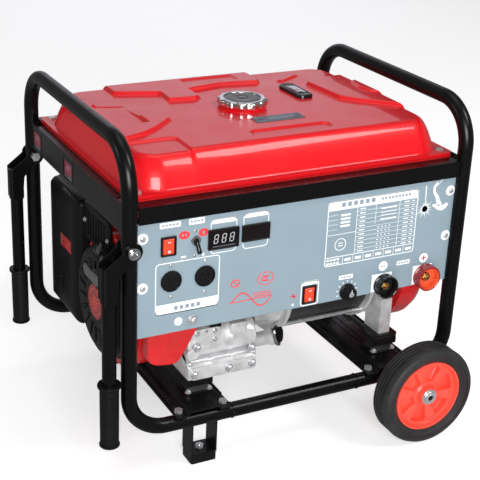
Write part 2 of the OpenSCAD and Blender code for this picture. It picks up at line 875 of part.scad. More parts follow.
module terminal_cup(r) {
    difference() {
        union() {
            translate([0, 0, 0.05]) cylinder(r = r, h = 4);
            translate([0, 0, 4]) cylinder(r1 = r - 1, r2 = r - 2, h = cup_depth);
            translate([0, 0, -18]) cylinder(r = 12, h = 18.1);
        }
        translate([0, 0, 5]) cylinder(r = r - 5.5, h = cup_depth + eps);
        translate([0, 0, -19]) cylinder(r = stud_r + 0.02, h = 30);
    }
}

module black_terminal() {
    color("#131315") at_origin() on_panel(black_at) terminal_cup(black_cup_r);
}

module red_terminal() {
    color("#8c1410") at_origin() on_panel(red_at) terminal_cup(red_cup_r);
}

module brass_studs() {
    color("#c9a047") at_origin() {
        for (at = [black_at, red_at]) on_panel(at) {
            translate([0, 0, -34]) cylinder(r = stud_r, h = 34 + cup_depth + 5);
            translate([0, 0, 5.05]) hex(10, 6);
        }
        on_panel(ground_at) {
            translate([0, 0, -12]) cylinder(r = 4, h = 28);
            translate([0, 0, 0.05]) cylinder(r = 8, h = 1.5);
            translate([0, 0, 1.6]) hex(7.5, 6);
        }
    }
}

module rectifier() {
    x0 = 400;
    z0 = panel_z0 + 60;
    y1 = box_depth - panel_t - 0.02;
    color("#b9bdc0") at_origin() {
        block([x0, y1 - 6, z0], [x0 + 160, y1, z0 + 90]);
        for (k = [0:9]) block([x0 + 16.5 * k + 2, y1 - 24, z0], [x0 + 16.5 * k + 5, y1 - 5.9, z0 + 90]);
    }
}

// ---- Engine ----

module mount_places() {
    for (x = mount_x, y = mount_y) translate([x, y, 0]) children();
}

module rubber_mounts() {
    low = member_top + seat;
    high = sump_z - plate_t - seat;
    color("#5a5c5e") at_origin() mount_places() hull() {
        translate([0, 0, low]) rounded_block([-24, -22, 0], [24, 22, 4], 3, $fn = soft_fn);
        translate([0, 0, high - 4])
            rounded_block([-mount_half[0], -mount_half[1], 0], [mount_half[0], mount_half[1], 4], 3,
                $fn = soft_fn);
    }
}

module mount_brackets() {
    color("#26272a") at_origin() mount_places()
        rounded_block([-28, -22, sump_z - plate_t], [28, 22, sump_z - 0.05], 4);
}

module crankcase() {
    color("#b4b7ba") at_origin() difference() {
        union() {
            along_x([case_x0, crank_y, crank_z]) cylinder(r = case_r, h = case_x1 - case_x0, $fn = 72);
            block([case_x0, sump_y0 + 6, sump_z], [case_x1, sump_y1, crank_z]);
            block([case_x0 + 8, sump_y0, sump_z + 18], [case_x1 - 8, crank_y, crank_z - 6]);
            block([case_x0, sump_y0, sump_z], [case_x1, sump_y0 + 20, sump_z + 14]);
            // Front cover boss with its bolts
            along_y([cyl_x, sump_y0 - 2, crank_z - 55]) cylinder(r = 34, h = 10);
            for (a = [0:60:300]) translate([cyl_x, sump_y0 - 5, crank_z - 55])
                rotate([0, a, 0]) along_y([28, 0, 0]) hex(4.5, 8);
            // Oil filler neck
            at_dipstick() translate([0, 0, -dip_len]) cylinder(r = 14, h = dip_len - 0.3);
        }
        along_x([case_x0 + 10, crank_y, crank_z]) cylinder(r = case_r - 12, h = case_x1 - case_x0 - 20);
        block([case_x0 + 10, sump_y0 + 14, sump_z + 8], [case_x1 - 10, sump_y1 - 8, crank_z]);
        along_x([0, crank_y, crank_z]) cylinder(r = shaft_r + 1, h = frame_l);
        for (x = [bearing_x[0], bearing_x[1]])
            along_x([x - 6, crank_y, crank_z]) cylinder(r = bearing_r + 0.02, h = bearing_w + 12);
        at_dipstick() translate([0, 0, -dip_len]) cylinder(r = 10, h = dip_len + eps);
        // Mouth for the cylinder
        at_cylinder() along_y([0, 60, 0]) cylinder(r = bore_r + 5, h = 60);
    }
}

module cylinder_block() {
    half = head_w / 2;
    at_cylinder() {
        along_y([0, case_r - 15, 0]) cylinder(r = bore_r + 10, h = head_at - case_r + 15);
        for (k = [0:floor((head_at - 114) / fin_pitch)]) translate([0, 114 + k * fin_pitch, 0])
            block([-half + 6, 0, -half + 6], [half - 6, 3, half - 6]);
        block([-half, head_at, -half + 4], [half, head_at + head_len - 16, half - 4]);
        for (k = [0:4]) block([-half, head_at + head_len - 18, -half + 4 + 24 * k],
            [half, head_at + head_len, -half + 10 + 24 * k]);
        block([-half + 10, head_at + head_len - 18, -half + 12],
            [half - 10, head_at + head_len, half - 12]);
    }
}

module cylinder_head() {
    difference() {
        cylinder_block();
        along_x([case_x0 - 5, crank_y, crank_z])
            cylinder(r = case_r + 0.1, h = case_x1 - case_x0 + 10, $fn = 72);
        at_cylinder() along_y([0, case_r - 30, 0]) cylinder(r = bore_r, h = head_at - case_r + 45);
    }
}

module head_cover() {
    half = head_w / 2 - 14;
    color("#8e9194") at_origin() at_cylinder() difference() {
        block([-half, head_at + head_len + seat, -half], [half, head_at + head_len + 36, half]);
        block([-half + 3, head_at + head_len, -half + 3], [half - 3, head_at + head_len + 33, half - 3]);
    }
}

// The scroll's outline seen from the end: the fan's circle with a duct towards the cylinder.
module blower_outline(inset) {
    circle(r = blower_r - inset, $fn = 96);
    rotate(cyl_tilt) translate([0, -50 + inset]) square([136 - inset, 140 - 2 * inset]);
}

// Extrudes an outline drawn with Y and Z as its axes along +X, from x0 to x1.
module from_end(x0, x1) {
    translate([x0, crank_y, crank_z]) rotate([90, 0, 90]) linear_extrude(x1 - x0) children();
}

module blower_housing() {
    x1 = case_x0 - seat;
    color("#c8102a") at_origin() difference() {
        from_end(blower_x0, x1) blower_outline(0);
        from_end(blower_x0 + blower_t, x1 + eps) blower_outline(blower_t);
        along_x([blower_x0 - eps, crank_y, crank_z]) cylinder(r = recoil_r - 10, h = 3 * blower_t);
    }
}

module recoil_cover() {
    depth = blower_x0 - seat - recoil_x0;
    wall = 2.5;
    color("#141416") at_origin() difference() {
        along_x([recoil_x0, crank_y, crank_z]) rotate_extrude($fn = 96)
            polygon([[0, 0], [recoil_r - 16, 0], [recoil_r - 6, 5], [recoil_r, 14],
                [recoil_r, depth - 4], [recoil_r + 7, depth - 4], [recoil_r + 7, depth],
                [recoil_r - wall, depth], [recoil_r - wall, 15], [recoil_r - 9, 7.5],
                [recoil_r - 17, wall], [0, wall]]);
        // Cooling vents around the face
        for (k = [0:17]) if (k != 6) along_x([recoil_x0 - eps, crank_y, crank_z]) rotate([0, 0, 20 * k])
            translate([50, -4, 0]) cube([32, 8, wall + 2 * eps]);
        // Rope guide
        along_x([recoil_x0 - 4, grip_y, grip_z]) cylinder(r = 4, h = 12);
    }
}

module starter_grip() {
    color("#3a3c3e") at_origin() {
        along_x([recoil_x0 - 14, grip_y, grip_z]) cylinder(r1 = 11, r2 = 7, h = 13.6);
        along_x([recoil_x0 - 14, grip_y, grip_z]) cylinder(r = 2.5, h = 22);
        translate([recoil_x0 - 16, grip_y, grip_z]) rotate([0, 90, 0])
            linear_extrude(8, center = true) rounded_rect([24, 76], 11);
    }
}

module crankshaft() {
    color("#8d9194") at_origin() {
        along_x([shaft_x0 - 8, crank_y, crank_z]) cylinder(r = shaft_r, h = bell_x1 - shaft_x0);
        for (x = [cyl_x - 26, cyl_x + 12]) along_x([x, crank_y, crank_z]) cylinder(r = 52, h = 14);
        along_x([cyl_x - 13, crank_y, crank_z + 30]) cylinder(r = 12, h = 26);
    }
}

module flywheel() {
    color("#9b9ea1") at_origin() difference() {
        along_x([70, crank_y, crank_z]) {
            cylinder(r = 92, h = 14, $fn = 72);
            translate([0, 0, 13]) ring(92, 78, 24);
            cylinder(r = 28, h = 37);
            for (k = [0:11]) rotate([0, 0, 30 * k]) translate([40, -2, -14]) cube([48, 4, 15]);
        }
        along_x([40, crank_y, crank_z]) cylinder(r = shaft_r + 0.02, h = 90);
    }
}

module rotor() {
    color("#7d5a3a") at_origin() difference() {
        along_x([stator_x0 + 14, crank_y, crank_z]) {
            cylinder(r = rotor_r - air_gap, h = stator_x1 - stator_x0 - 28, $fn = 72);
            for (z = [-8, stator_x1 - stator_x0 - 30]) translate([0, 0, z])
                cylinder(r = rotor_r - 14, h = 10);
        }
        along_x([stator_x0 - 10, crank_y, crank_z])
            cylinder(r = shaft_r + 0.02, h = stator_x1 - stator_x0 + 20);
    }
}

module bearings() {
    color("#c3c6c9") at_origin() for (x = bearing_x)
        along_x([x, crank_y, crank_z]) ring(bearing_r, shaft_r + running, bearing_w);
}

module stator() {
    color("#1c1c20") at_origin() difference() {
        along_x([stator_x0 + seat, crank_y, crank_z])
            cylinder(r = stator_r, h = stator_x1 - stator_x0 - 2 * seat, $fn = 96);
        along_x([stator_x0, crank_y, crank_z])
            cylinder(r = rotor_r, h = stator_x1 - stator_x0, $fn = 72);
    }
}

module bolt_ring_at(x) {
    for (a = [45:90:315]) translate([x, crank_y, crank_z]) rotate([a, 0, 0])
        translate([0, 0, bolt_ring]) rotate([0, 90, 0]) children();
}

module alternator_bells() {
    color("#aeb2b5") at_origin() {
        // Adapter between the crankcase and the stator
        difference() {
            union() {
                along_x([bell_x0, crank_y, crank_z]) rotate_extrude($fn = 72)
                    polygon([[76, 0], [adapter_r0, 0], [adapter_r0, adapter_x0 - bell_x0],
                        [adapter_r1, adapter_x1 - bell_x0], [adapter_r1, stator_x0 - bell_x0 - 8],
                        [flange_r, stator_x0 - bell_x0 - 8], [flange_r, stator_x0 - bell_x0],
                        [rotor_r + 8, stator_x0 - bell_x0], [rotor_r + 8, stator_x0 - bell_x0 - 8],
                        [84, 10], [76, 10]]);
            }
            bolt_ring_at(stator_x0 - 12) cylinder(r = frame_bolt_r + hole_gap, h = 20);
            // Cooling slots
            for (a = [15:30:345]) translate([bell_x0 + 26, crank_y, crank_z]) rotate([a, 0, 0])
                translate([0, -9, 70]) cube([36, 18, 60]);
        }
        // Rear bell with its bearing seat and feet
        wall_in = stator_r - 10;
        hub_r = bearing_r + 10;
        depth = bell_x1 - stator_x1 - seat;
        difference() {
            union() {
                along_x([stator_x1, crank_y, crank_z]) rotate_extrude($fn = 72)
                    polygon([[rotor_r + 6, 0], [flange_r, 0], [flange_r, 8], [stator_r - 3, 8],
                        [stator_r - 3, depth], [wall_in, depth], [wall_in, 32], [hub_r, 32],
                        [hub_r, 55], [bearing_r + 0.02, 55], [bearing_r + 0.02, 32],
                        [bearing_r - 3, 32], [bearing_r - 3, 24], [wall_in, 24], [wall_in, 8],
                        [rotor_r + 6, 8]]);
                difference() {
                    for (y = [mount_y[0] - 14, mount_y[1] - 36])
                        block([stator_x1 + 17, y, sump_z], [stator_x1 + 42, y + 50, crank_z - 40]);
                    along_x([stator_x1, crank_y, crank_z]) cylinder(r = wall_in + 3, h = 80);
                }
            }
            bolt_ring_at(stator_x1 - 4) cylinder(r = frame_bolt_r + hole_gap, h = 16);
            for (a = [22.5:45:337.5]) translate([stator_x1 + 20, crank_y, crank_z]) rotate([a, 0, 0])
                translate([0, 0, 70]) rotate([0, 90, 0]) cylinder(r = 14, h = 20);
        }
    }
}

module end_cover() {
    depth = cover_x1 - bell_x1;
    color("#c8102a") at_origin() difference() {
        along_x([bell_x1, crank_y, crank_z]) rotate_extrude($fn = 96)
            polygon([[stator_r - 10, 0], [cover_r, 0], [cover_r, depth - 18], [cover_r - 6, depth - 6],
                [cover_r - 20, depth], [0, depth], [0, depth - 2], [cover_r - 21, depth - 2],
                [cover_r - 8, depth - 8], [cover_r - 2, depth - 19], [cover_r - 2, 2],
                [stator_r - 10, 2]]);
        // Cooling louvres
        for (k = [-3:3]) block([cover_x1 - 4, crank_y - 50, crank_z + 16 * k - 3],
            [cover_x1 + eps, crank_y + 50, crank_z + 16 * k + 3]);
    }
}

module through_bolts() {
    color("silver") at_origin() bolt_ring_at(stator_x0 - 10) {
        translate([0, 0, -3]) cylinder(r = frame_bolt_r, h = stator_x1 - stator_x0 + 28);
        translate([0, 0, -4.1]) hex(7.5, 6);
        translate([0, 0, stator_x1 - stator_x0 + 18.2]) hex(7.5, 6);
    }
}

module air_filter() {
    lo = [25, crank_y + 148, member_top + 26];
    hi = [95, frame_w - 27, crank_z + 138];
    color("#161618") at_origin() {
        difference() {
            rounded_block(lo + [22, 0, 0], hi, 8);
            rounded_block(lo + [25, 3, 3], hi - [3, 3, 3], 6);
            along_x([hi[0] - 10, carb_y, carb_z]) cylinder(r = 14, h = 20);
        }
        rounded_block(lo + [0, 4, 4], [lo[0] + 21.95, hi[1] - 4, hi[2] - 4], 8);
        along_x([lo[0] - 6, lo[1] + 50, lo[2] + 60]) cylinder(r = 9, h = 6.05);
    }
}

module carburettor() {
    color("#a9adb0") at_origin() difference() {
        union() {
            along_x([carb_x0, carb_y, carb_z]) cylinder(r = 24, h = 5);
            block([carb_x0 + 4, carb_y - 20, carb_z - 22], [carb_x1 - 4, carb_y + 20, carb_z + 22]);
            translate([112, carb_y, carb_z - 44]) cylinder(r = 14, h = 30);
            along_x([carb_x1 - 5, carb_y, carb_z]) cylinder(r = 24, h = 5);
            // Pin of the choke lever
            along_y([112, lever_y - 4, lever_z]) cylinder(r = 3, h = 24);
        }
        along_x([carb_x0 - eps, carb_y, carb_z]) cylinder(r = 12, h = carb_x1 - carb_x0 + 2 * eps);
    }
}

module choke_lever() {
    color("#2a2a2c") at_origin() difference() {
        union() {
            along_y([112, lever_y - 1, lever_z]) cylinder(r = 7, h = 3);
            block([108.5, lever_y - 1, lever_z], [115.5, lever_y + 2, lever_z + 42]);
            along_y([112, lever_y - 8, lever_z + 42]) cylinder(r = 6, h = 10);
        }
        along_y([112, lever_y - 9, lever_z]) cylinder(r = 3 + running, h = 14);
    }
}

module spark_plug() {
    color("#1d1d1f") at_origin() at_cylinder() translate([0, head_at + 20, head_w / 2 - 4 + seat]) {
        color("#e8e6e0") cylinder(r = 6, h = 16);
        hex(11, 5);
        translate([0, 0, 12]) cylinder(r1 = 9, r2 = 8, h = 26);
    }
}

module dipstick_cap() {
    color("#1a1a1c") at_origin() at_dipstick() {
        ring(20, 9, 3);
        cylinder(r = 17, h = 7);
        translate([-16, -2.5, 6]) cube([32, 5, 9]);
        translate([0, 0, -14]) cylinder(r = 9.5, h = 15);
        translate([0, 0, -44]) cylinder(r = 2, h = 31);
    }
}

module muffler() {
    lo = [290, crank_y + 172, crank_z + 34];
    hi = [560, crank_y + 298, crank_z + 158];
    color("#77726c") at_origin() {
        difference() {
            union() {
                along_x([lo[0], (lo[1] + hi[1]) / 2, (lo[2] + hi[2]) / 2])
                    linear_extrude(hi[0] - lo[0]) rounded_rect([hi[2] - lo[2], hi[1] - lo[1]], 40);
                along_x([cyl_x + head_w / 2 + seat, carb_y + 4, carb_z + 4]) {
                    cylinder(r = 15, h = lo[0] - cyl_x - head_w / 2 + 4);
                    cylinder(r = 26, h = 6);
                }
                along_x([hi[0] - 30, hi[1] - 30, lo[2] + 40]) cylinder(r = 12, h = 56);
            }
            along_x([lo[0] + 2, (lo[1] + hi[1]) / 2, (lo[2] + hi[2]) / 2])
                linear_extrude(hi[0] - lo[0] - 4)
                    rounded_rect([hi[2] - lo[2] - 4, hi[1] - lo[1] - 4], 38);
            along_x([cyl_x + head_w / 2, carb_y + 4, carb_z + 4]) cylinder(r = 12, h = 60);
            along_x([hi[0] - 10, hi[1] - 30, lo[2] + 40]) cylinder(r = 10, h = 60);
        }
    }
}

// Points on a soft curve from one place to another, bowed by a vector at the middle.
function bowed(from, to, bow, rings) =
    [for (i = [0:rings]) let(t = i / rings, e = t * t * (3 - 2 * t))
        [from[0] + (to[0] - from[0]) * e + bow[0] * sin(180 * t),
         from[1] + (to[1] - from[1]) * e + bow[1] * sin(180 * t),
         from[2] + (to[2] - from[2]) * t + bow[2] * sin(180 * t)]];

module fuel_hose() {
    color("#1a1a1a") at_origin() rod(bowed(hose_from, hose_to, [4, 0, 0], hose_rings), hose_r, 12);
}

// Two leads that drop from the control box and run back to the adapter.
module wiring_leads() {
    top_z = panel_z0 + panel_t - 0.2;
    end_x = lead_x + 26;
    color("#e0b020") at_origin() for (k = [-1, 1])
        rod(bowed([lead_x + 7 * k, lead_y, top_z],
            [end_x + 9 * k, crank_y - adapter_r(end_x + 9 * k) - lead_end_gap, crank_z - 4],
            [0, 0, -9], lead_rings), lead_r, 8);
}

module cylinder_node() {
    color("#c0c3c6") at_origin() cylinder_head();
}

left_hoop();
right_hoop();
frame_rails();
cross_members();
tank_rails();
frame_brackets();
foot_pads();
wiring_leads();
axle();
front_tyre();
front_hub();
back_tyre();
back_hub();
front_handle();
front_grip();
back_handle();
back_grip();
frame_bolts();
tank_shell();
tank_pan();
filler_neck();
fuel_cap();
fuel_gauge();
control_panel();
control_box();
panel_screws();
switch_bodies();
engine_rocker();
idle_rocker();
selector_lever();
meters();
ac_sockets();
current_knob();
black_terminal();
red_terminal();
brass_studs();
rectifier();
rubber_mounts();
mount_brackets();
crankcase();
cylinder_node();  // cylinder
head_cover();
blower_housing();
recoil_cover();
starter_grip();
crankshaft();
flywheel();
rotor();
bearings();
stator();
alternator_bells();
end_cover();
through_bolts();
air_filter();
carburettor();
choke_lever();
spark_plug();
dipstick_cap();
muffler();
fuel_hose();
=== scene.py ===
"""An open-frame petrol welder and generator: finishes, pressed and moulded pieces, printed panel.

Lengths are millimetres from the machine's datum: x from the left hoop's tube, y from the front
rail's tube and z from the ground. at() turns them into the model's metres.
"""

import bmesh
import bpy
import math
import numpy as np
from mathutils import Matrix, Vector


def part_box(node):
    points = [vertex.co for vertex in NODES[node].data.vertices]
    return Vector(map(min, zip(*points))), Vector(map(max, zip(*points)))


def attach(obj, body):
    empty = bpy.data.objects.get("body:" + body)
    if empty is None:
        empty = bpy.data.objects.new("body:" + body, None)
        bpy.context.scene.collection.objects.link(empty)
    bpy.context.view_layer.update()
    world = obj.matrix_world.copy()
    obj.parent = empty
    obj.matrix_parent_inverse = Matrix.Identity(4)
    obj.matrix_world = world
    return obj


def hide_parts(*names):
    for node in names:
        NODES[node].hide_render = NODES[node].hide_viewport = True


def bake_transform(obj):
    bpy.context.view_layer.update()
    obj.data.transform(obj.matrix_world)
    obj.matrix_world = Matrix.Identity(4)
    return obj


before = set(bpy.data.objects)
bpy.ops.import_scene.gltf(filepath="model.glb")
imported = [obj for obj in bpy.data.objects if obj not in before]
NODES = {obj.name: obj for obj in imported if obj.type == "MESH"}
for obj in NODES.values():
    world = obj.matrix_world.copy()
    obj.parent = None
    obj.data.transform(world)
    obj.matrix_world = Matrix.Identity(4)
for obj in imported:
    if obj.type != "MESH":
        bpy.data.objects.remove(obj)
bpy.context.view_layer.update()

MM = 0.001
TUBE_R = 14.0
SAME_PLACE = 2e-6
NO_LENGTH = 1e-7
DATUM = np.array([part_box("left_hoop")[0].x + TUBE_R * MM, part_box("left_hoop")[0].y + TUBE_R * MM, 0.0])
FRAME_L = (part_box("right_hoop")[1].x - DATUM[0]) / MM - TUBE_R
FRAME_W = (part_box("left_hoop")[1].y - DATUM[1]) / MM - TUBE_R


def at(points):
    """Millimetres from the machine's datum to metres in the model."""
    return np.asarray(points, float) * MM + DATUM


def node_box(name):
    """A node's lowest and highest corners, in millimetres from the datum."""
    return [(np.array(corner) - DATUM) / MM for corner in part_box(name)]


def node_middle(name):
    """The middle of a node's box, in millimetres from the datum."""
    low, high = node_box(name)
    return (low + high) / 2


def node_size(name):
    """A node's length, width and height in millimetres."""
    low, high = node_box(name)
    return high - low


# ---- Surfaces ----

def sheet_faces(rows, columns, close_rows=False, close_columns=False):
    """Quads between neighbouring points of a rows x columns grid, wrapped round where asked."""
    i = np.arange(rows if close_rows else rows - 1)
    j = np.arange(columns if close_columns else columns - 1)
    i, j = np.meshgrid(i, j, indexing="ij")
    i1, j1 = (i + 1) % rows, (j + 1) % columns
    corners = [i * columns + j, i * columns + j1, i1 * columns + j1, i1 * columns + j]
    return np.stack([c.ravel() for c in corners], axis=1)


def surface(points, close_rows=False, close_columns=False):
    """(points, faces) of a grid of points, rows x columns x 3."""
    rows, columns = points.shape[:2]
    return points.reshape(-1, 3), sheet_faces(rows, columns, close_rows, close_columns)


def together(*parts):
    """Several (points, faces) as one."""
    points, faces, start = [], [], 0
    for p, f in parts:
        points.append(p)
        faces.append(f + start)
        start += len(p)
    return np.vstack(points), np.vstack(faces)


def all_round(count):
    """Even angles of a full turn, as a column."""
    return np.linspace(0, 2 * math.pi, count, endpoint=False)[:, None]


def carried_round(radius, height, angle):
    """A grid of points: each radius and height of a profile, at each angle about the z axis."""
    return np.stack([radius * np.cos(angle), radius * np.sin(angle), height + 0 * angle], axis=2)


def turned(profile, count=64):
    """A profile of (radius, height) points carried round the z axis; it closes on itself."""
    profile = np.asarray(profile, float)
    return surface(carried_round(profile[:, 0], profile[:, 1], all_round(count)), True, True)


def rounded_outline(w, h, r, steps=6):
    """Points round a w x h rectangle on the origin, anticlockwise, its corners arcs of radius r."""
    r = max(min(r, w / 2 - 0.01, h / 2 - 0.01), 0.01)
    turn = np.linspace(0, math.pi / 2, steps)
    corners = [(w / 2 - r, h / 2 - r, 0), (r - w / 2, h / 2 - r, 1),
               (r - w / 2, r - h / 2, 2), (w / 2 - r, r - h / 2, 3)]
    runs = [np.stack([x + r * np.cos(turn + q * math.pi / 2), y + r * np.sin(turn + q * math.pi / 2)], 1)
            for x, y, q in corners]
    return np.vstack(runs)


def capped(layers):
    """A closed solid through rings of equal count, each n x 3; both ends meet in a point."""
    first, last = layers[0], layers[-1]
    ends = [0 * first + first.mean(0)], [0 * last + last.mean(0)]
    return surface(np.stack(ends[0] + list(layers) + ends[1]), close_columns=True)


def stacked(rings):
    """A closed solid through level rings of equal count, each (outline n x 2, height)."""
    return capped([np.column_stack([o, np.full(len(o), z)]) for o, z in rings])


def moulded(w, h, r, profile, steps=6):
    """A rounded slab: (inset, height) pairs from the foot to the top, each a smaller or larger outline."""
    return stacked([(rounded_outline(w - 2 * i, h - 2 * i, r - i, steps), z) for i, z in profile])


def slab(w, h, t, r, edge=0.6, steps=6):
    """A plate of thickness t from height 0, its top edge rounded by edge."""
    return moulded(w, h, r, [(0, 0), (0, t - edge), (0.3 * edge, t - 0.3 * edge), (edge, t)], steps)


def hollow(w, h, r, depth, wall, lip=0.5):
    """A picture-frame slab: outer outline, rounded lip, and an inner outline inset by wall."""
    outer = [rounded_outline(w - 2 * i, h - 2 * i, r - i) for i in (0, 0, lip, wall - lip, wall, wall)]
    levels = (0, depth - lip, depth, depth, depth - lip, 0)
    grid = np.stack([np.column_stack([o, np.full(len(o), z)]) for o, z in zip(outer, levels)])
    return surface(grid, True, True)


def swept(path, radius, sides=12, up=(0, 0, 1), closed=False):
    """A tube along a path: circles square to it, their first point turned by a fixed up direction."""
    path = np.asarray(path, float)
    radius = np.broadcast_to(np.asarray(radius, float), len(path))[:, None, None]
    along = np.roll(path, -1, 0) - np.roll(path, 1, 0) if closed else np.gradient(path, axis=0)
    along /= np.linalg.norm(along, axis=1, keepdims=True)
    side = np.cross(along, np.asarray(up, float))
    side /= np.linalg.norm(side, axis=1, keepdims=True)
    other = np.cross(side, along)
    angle = np.linspace(0, 2 * math.pi, sides, endpoint=False)[None, :, None]
    grid = path[:, None] + radius * (np.cos(angle) * side[:, None] + np.sin(angle) * other[:, None])
    if not closed:
        grid = np.concatenate([path[:1, None] + 0 * grid[:1], grid, path[-1:, None] + 0 * grid[:1]])
    return surface(grid, closed, True)


def curve(points, count=48):
    """A smooth run through a few points: Catmull-Rom between neighbours, at even steps."""
    p = np.asarray(points, float)
    p = np.vstack([2 * p[0] - p[1], p, 2 * p[-1] - p[-2]])
    t = np.linspace(0, len(p) - 3 - 1e-6, count)
    k = t.astype(int)
    f = (t - k)[:, None]
    a, b, c, d = p[k], p[k + 1], p[k + 2], p[k + 3]
    return 0.5 * (2 * b + (c - a) * f + (2 * a - 5 * b + 4 * c - d) * f ** 2
                  + (3 * b - a - 3 * c + d) * f ** 3)


def moved(part, origin=(0, 0, 0), x=(1, 0, 0), y=(0, 1, 0), z=(0, 0, 1)):
    """A part in the machine: its own x, y and z laid along the three directions given."""
    points, faces = part
    return points @ np.array([x, y, z], float) + np.asarray(origin, float), faces


def turn_about(part, angle):
    """A part turned by an angle in degrees about its own z axis."""
    a = math.radians(angle)
    return moved(part, x=(math.cos(a), math.sin(a), 0), y=(-math.sin(a), math.cos(a), 0))


def on_front(part, x, z, y=0.0):
    """A part on the panel: its x to the right, its y up and its z out of the panel."""
    return moved(part, (x, y, z), (1, 0, 0), (0, 0, 1), (0, -1, 0))


def along_x(part, x, y, z):
    """A part whose own z axis lies along the machine's length."""
    return moved(part, (x, y, z), (0, 1, 0), (0, 0, 1), (1, 0, 0))


def to_back(part, x, y, z):
    """A part whose own z axis points to the back."""
    return moved(part, (x, y, z), (-1, 0, 0), (0, 0, 1), (0, 1, 0))


def on_left(part, x, y, z):
    """A part that faces the left end: its x towards the front, its y up and its z to the left."""
    return moved(part, (x, y, z), (0, -1, 0), (0, 0, 1), (-1, 0, 0))


def facing(part, origin, axis):
    """A part whose own z axis lies along a direction, its x axis level."""
    z = np.asarray(axis, float) / np.linalg.norm(axis)
    x = np.cross((0, 0, 1), z)
    x /= np.linalg.norm(x)
    return moved(part, origin, x, np.cross(z, x), z)


def piece(name, part, finish, body, replaces=(), crease=32.0):
    """A finished piece: doubles merged, faces outwards, smooth up to the crease angle.

    It rides on the named body, unless the name is empty.
    """
    points, faces = part
    mesh = bpy.data.meshes.new(name)
    mesh.from_pydata(at(points).tolist(), [], faces.tolist())
    work = bmesh.new()
    work.from_mesh(mesh)
    bmesh.ops.remove_doubles(work, verts=work.verts, dist=SAME_PLACE)
    bmesh.ops.dissolve_degenerate(work, edges=work.edges, dist=NO_LENGTH)
    bmesh.ops.recalc_face_normals(work, faces=work.faces)
    work.to_mesh(mesh)
    work.free()
    mesh.shade_smooth()
    mesh.set_sharp_from_angle(angle=math.radians(crease))
    made = bpy.data.objects.new(name, mesh)
    bpy.context.scene.collection.objects.link(made)
    mesh.materials.append(finish)
    if body:
        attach(made, body)
    if replaces:
        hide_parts(*replaces)
    return made


# ---- Finishes ----

def mix(tree, factor, a, b):
    """A colour that goes from a to b with a factor socket."""
    node = tree.nodes.new("ShaderNodeMix")
    node.data_type = "RGBA"
    tree.links.new(factor, node.inputs["Factor"])
    for socket, value in ((node.inputs["A"], a), (node.inputs["B"], b)):
        if isinstance(value, bpy.types.NodeSocket):
            tree.links.new(value, socket)
        else:
            socket.default_value = (*value, 1)
    return node.outputs["Result"]


def noise(tree, place, size, detail=4.0, rough=0.55):
    """Fractal noise whose lumps are about size millimetres across."""
    node = tree.nodes.new("ShaderNodeTexNoise")
    node.inputs["Scale"].default_value = 1 / (size * MM)
    node.inputs["Detail"].default_value = detail
    node.inputs["Roughness"].default_value = rough
    tree.links.new(place, node.inputs["Vector"])
    return node.outputs["Fac"]


def spread(tree, value, low, high, to_low=0.0, to_high=1.0):
    """A value's range low..high stretched over to_low..to_high, and clamped."""
    node = tree.nodes.new("ShaderNodeMapRange")
    for socket, number in zip(("From Min", "From Max", "To Min", "To Max"), (low, high, to_low, to_high)):
        node.inputs[socket].default_value = number
    tree.links.new(value, node.inputs["Value"])
    return node.outputs["Result"]


def finish(name, colour, rough, metal=0.0, coat=0.0, shade=0.75, patch=60.0, rough_swing=0.08,
           grain=0.6, grain_depth=0.01, lump=0.0, lump_depth=0.0, stretch=(1, 1, 1), wear=None,
           wear_amount=0.0, wear_size=7.0, specular=0.5, coat_rough=0.04, glow=0.0, aniso=0.0, ior=1.5):
    """A painted, moulded or metal surface: patchy tone, grain and lumps in relief, worn flecks.

    shade darkens the colour in patches; grain and lump are sizes in millimetres with their depths;
    stretch draws the grain out along an axis; wear is the colour that shows through in flecks.
    """
    material = bpy.data.materials.new(name)
    material.use_nodes = True
    tree = material.node_tree
    shader = tree.nodes["Principled BSDF"]
    place = tree.nodes.new("ShaderNodeTexCoord").outputs["Object"]
    mapping = tree.nodes.new("ShaderNodeMapping")
    mapping.inputs["Scale"].default_value = stretch
    tree.links.new(place, mapping.inputs["Vector"])
    drawn = mapping.outputs["Vector"]
    tone = spread(tree, noise(tree, place, patch, 5.0), 0.32, 0.68)
    base = mix(tree, tone, tuple(c * shade for c in colour), colour)
    fine = noise(tree, drawn, grain, 3.0, 0.6)
    if wear is not None:
        flecks = spread(tree, noise(tree, place, wear_size, 6.0, 0.7), 0.72 - wear_amount,
                        0.75 - wear_amount)
        base = mix(tree, flecks, base, wear)
    tree.links.new(base, shader.inputs["Base Color"])
    roughness = spread(tree, noise(tree, place, patch * 0.3, 4.0), 0.3, 0.7,
                       max(rough - rough_swing, 0.02), min(rough + rough_swing, 1.0))
    tree.links.new(roughness, shader.inputs["Roughness"])
    shader.inputs["Metallic"].default_value = metal
    shader.inputs["Coat Weight"].default_value = coat
    shader.inputs["Coat Roughness"].default_value = coat_rough
    shader.inputs["Specular IOR Level"].default_value = specular
    shader.inputs["Anisotropic"].default_value = aniso
    shader.inputs["IOR"].default_value = ior
    # glow makes the surface give off its own colour as light: an even brightness on the floor, and painted
    # glow on the red plastic and the meter figures, which are no lamps.
    if glow:
        shader.inputs["Emission Color"].default_value = (*colour, 1)
        shader.inputs["Emission Strength"].default_value = glow
    bump = tree.nodes.new("ShaderNodeBump")
    bump.inputs["Distance"].default_value = grain_depth * MM
    tree.links.new(fine, bump.inputs["Height"])
    relief = bump
    if lump:
        relief = tree.nodes.new("ShaderNodeBump")
        relief.inputs["Distance"].default_value = lump_depth * MM
        tree.links.new(noise(tree, place, lump, 2.0), relief.inputs["Height"])
        tree.links.new(bump.outputs["Normal"], relief.inputs["Normal"])
    tree.links.new(relief.outputs["Normal"], shader.inputs["Normal"])
    return material


STEEL_SHOWING = (0.30, 0.29, 0.28)

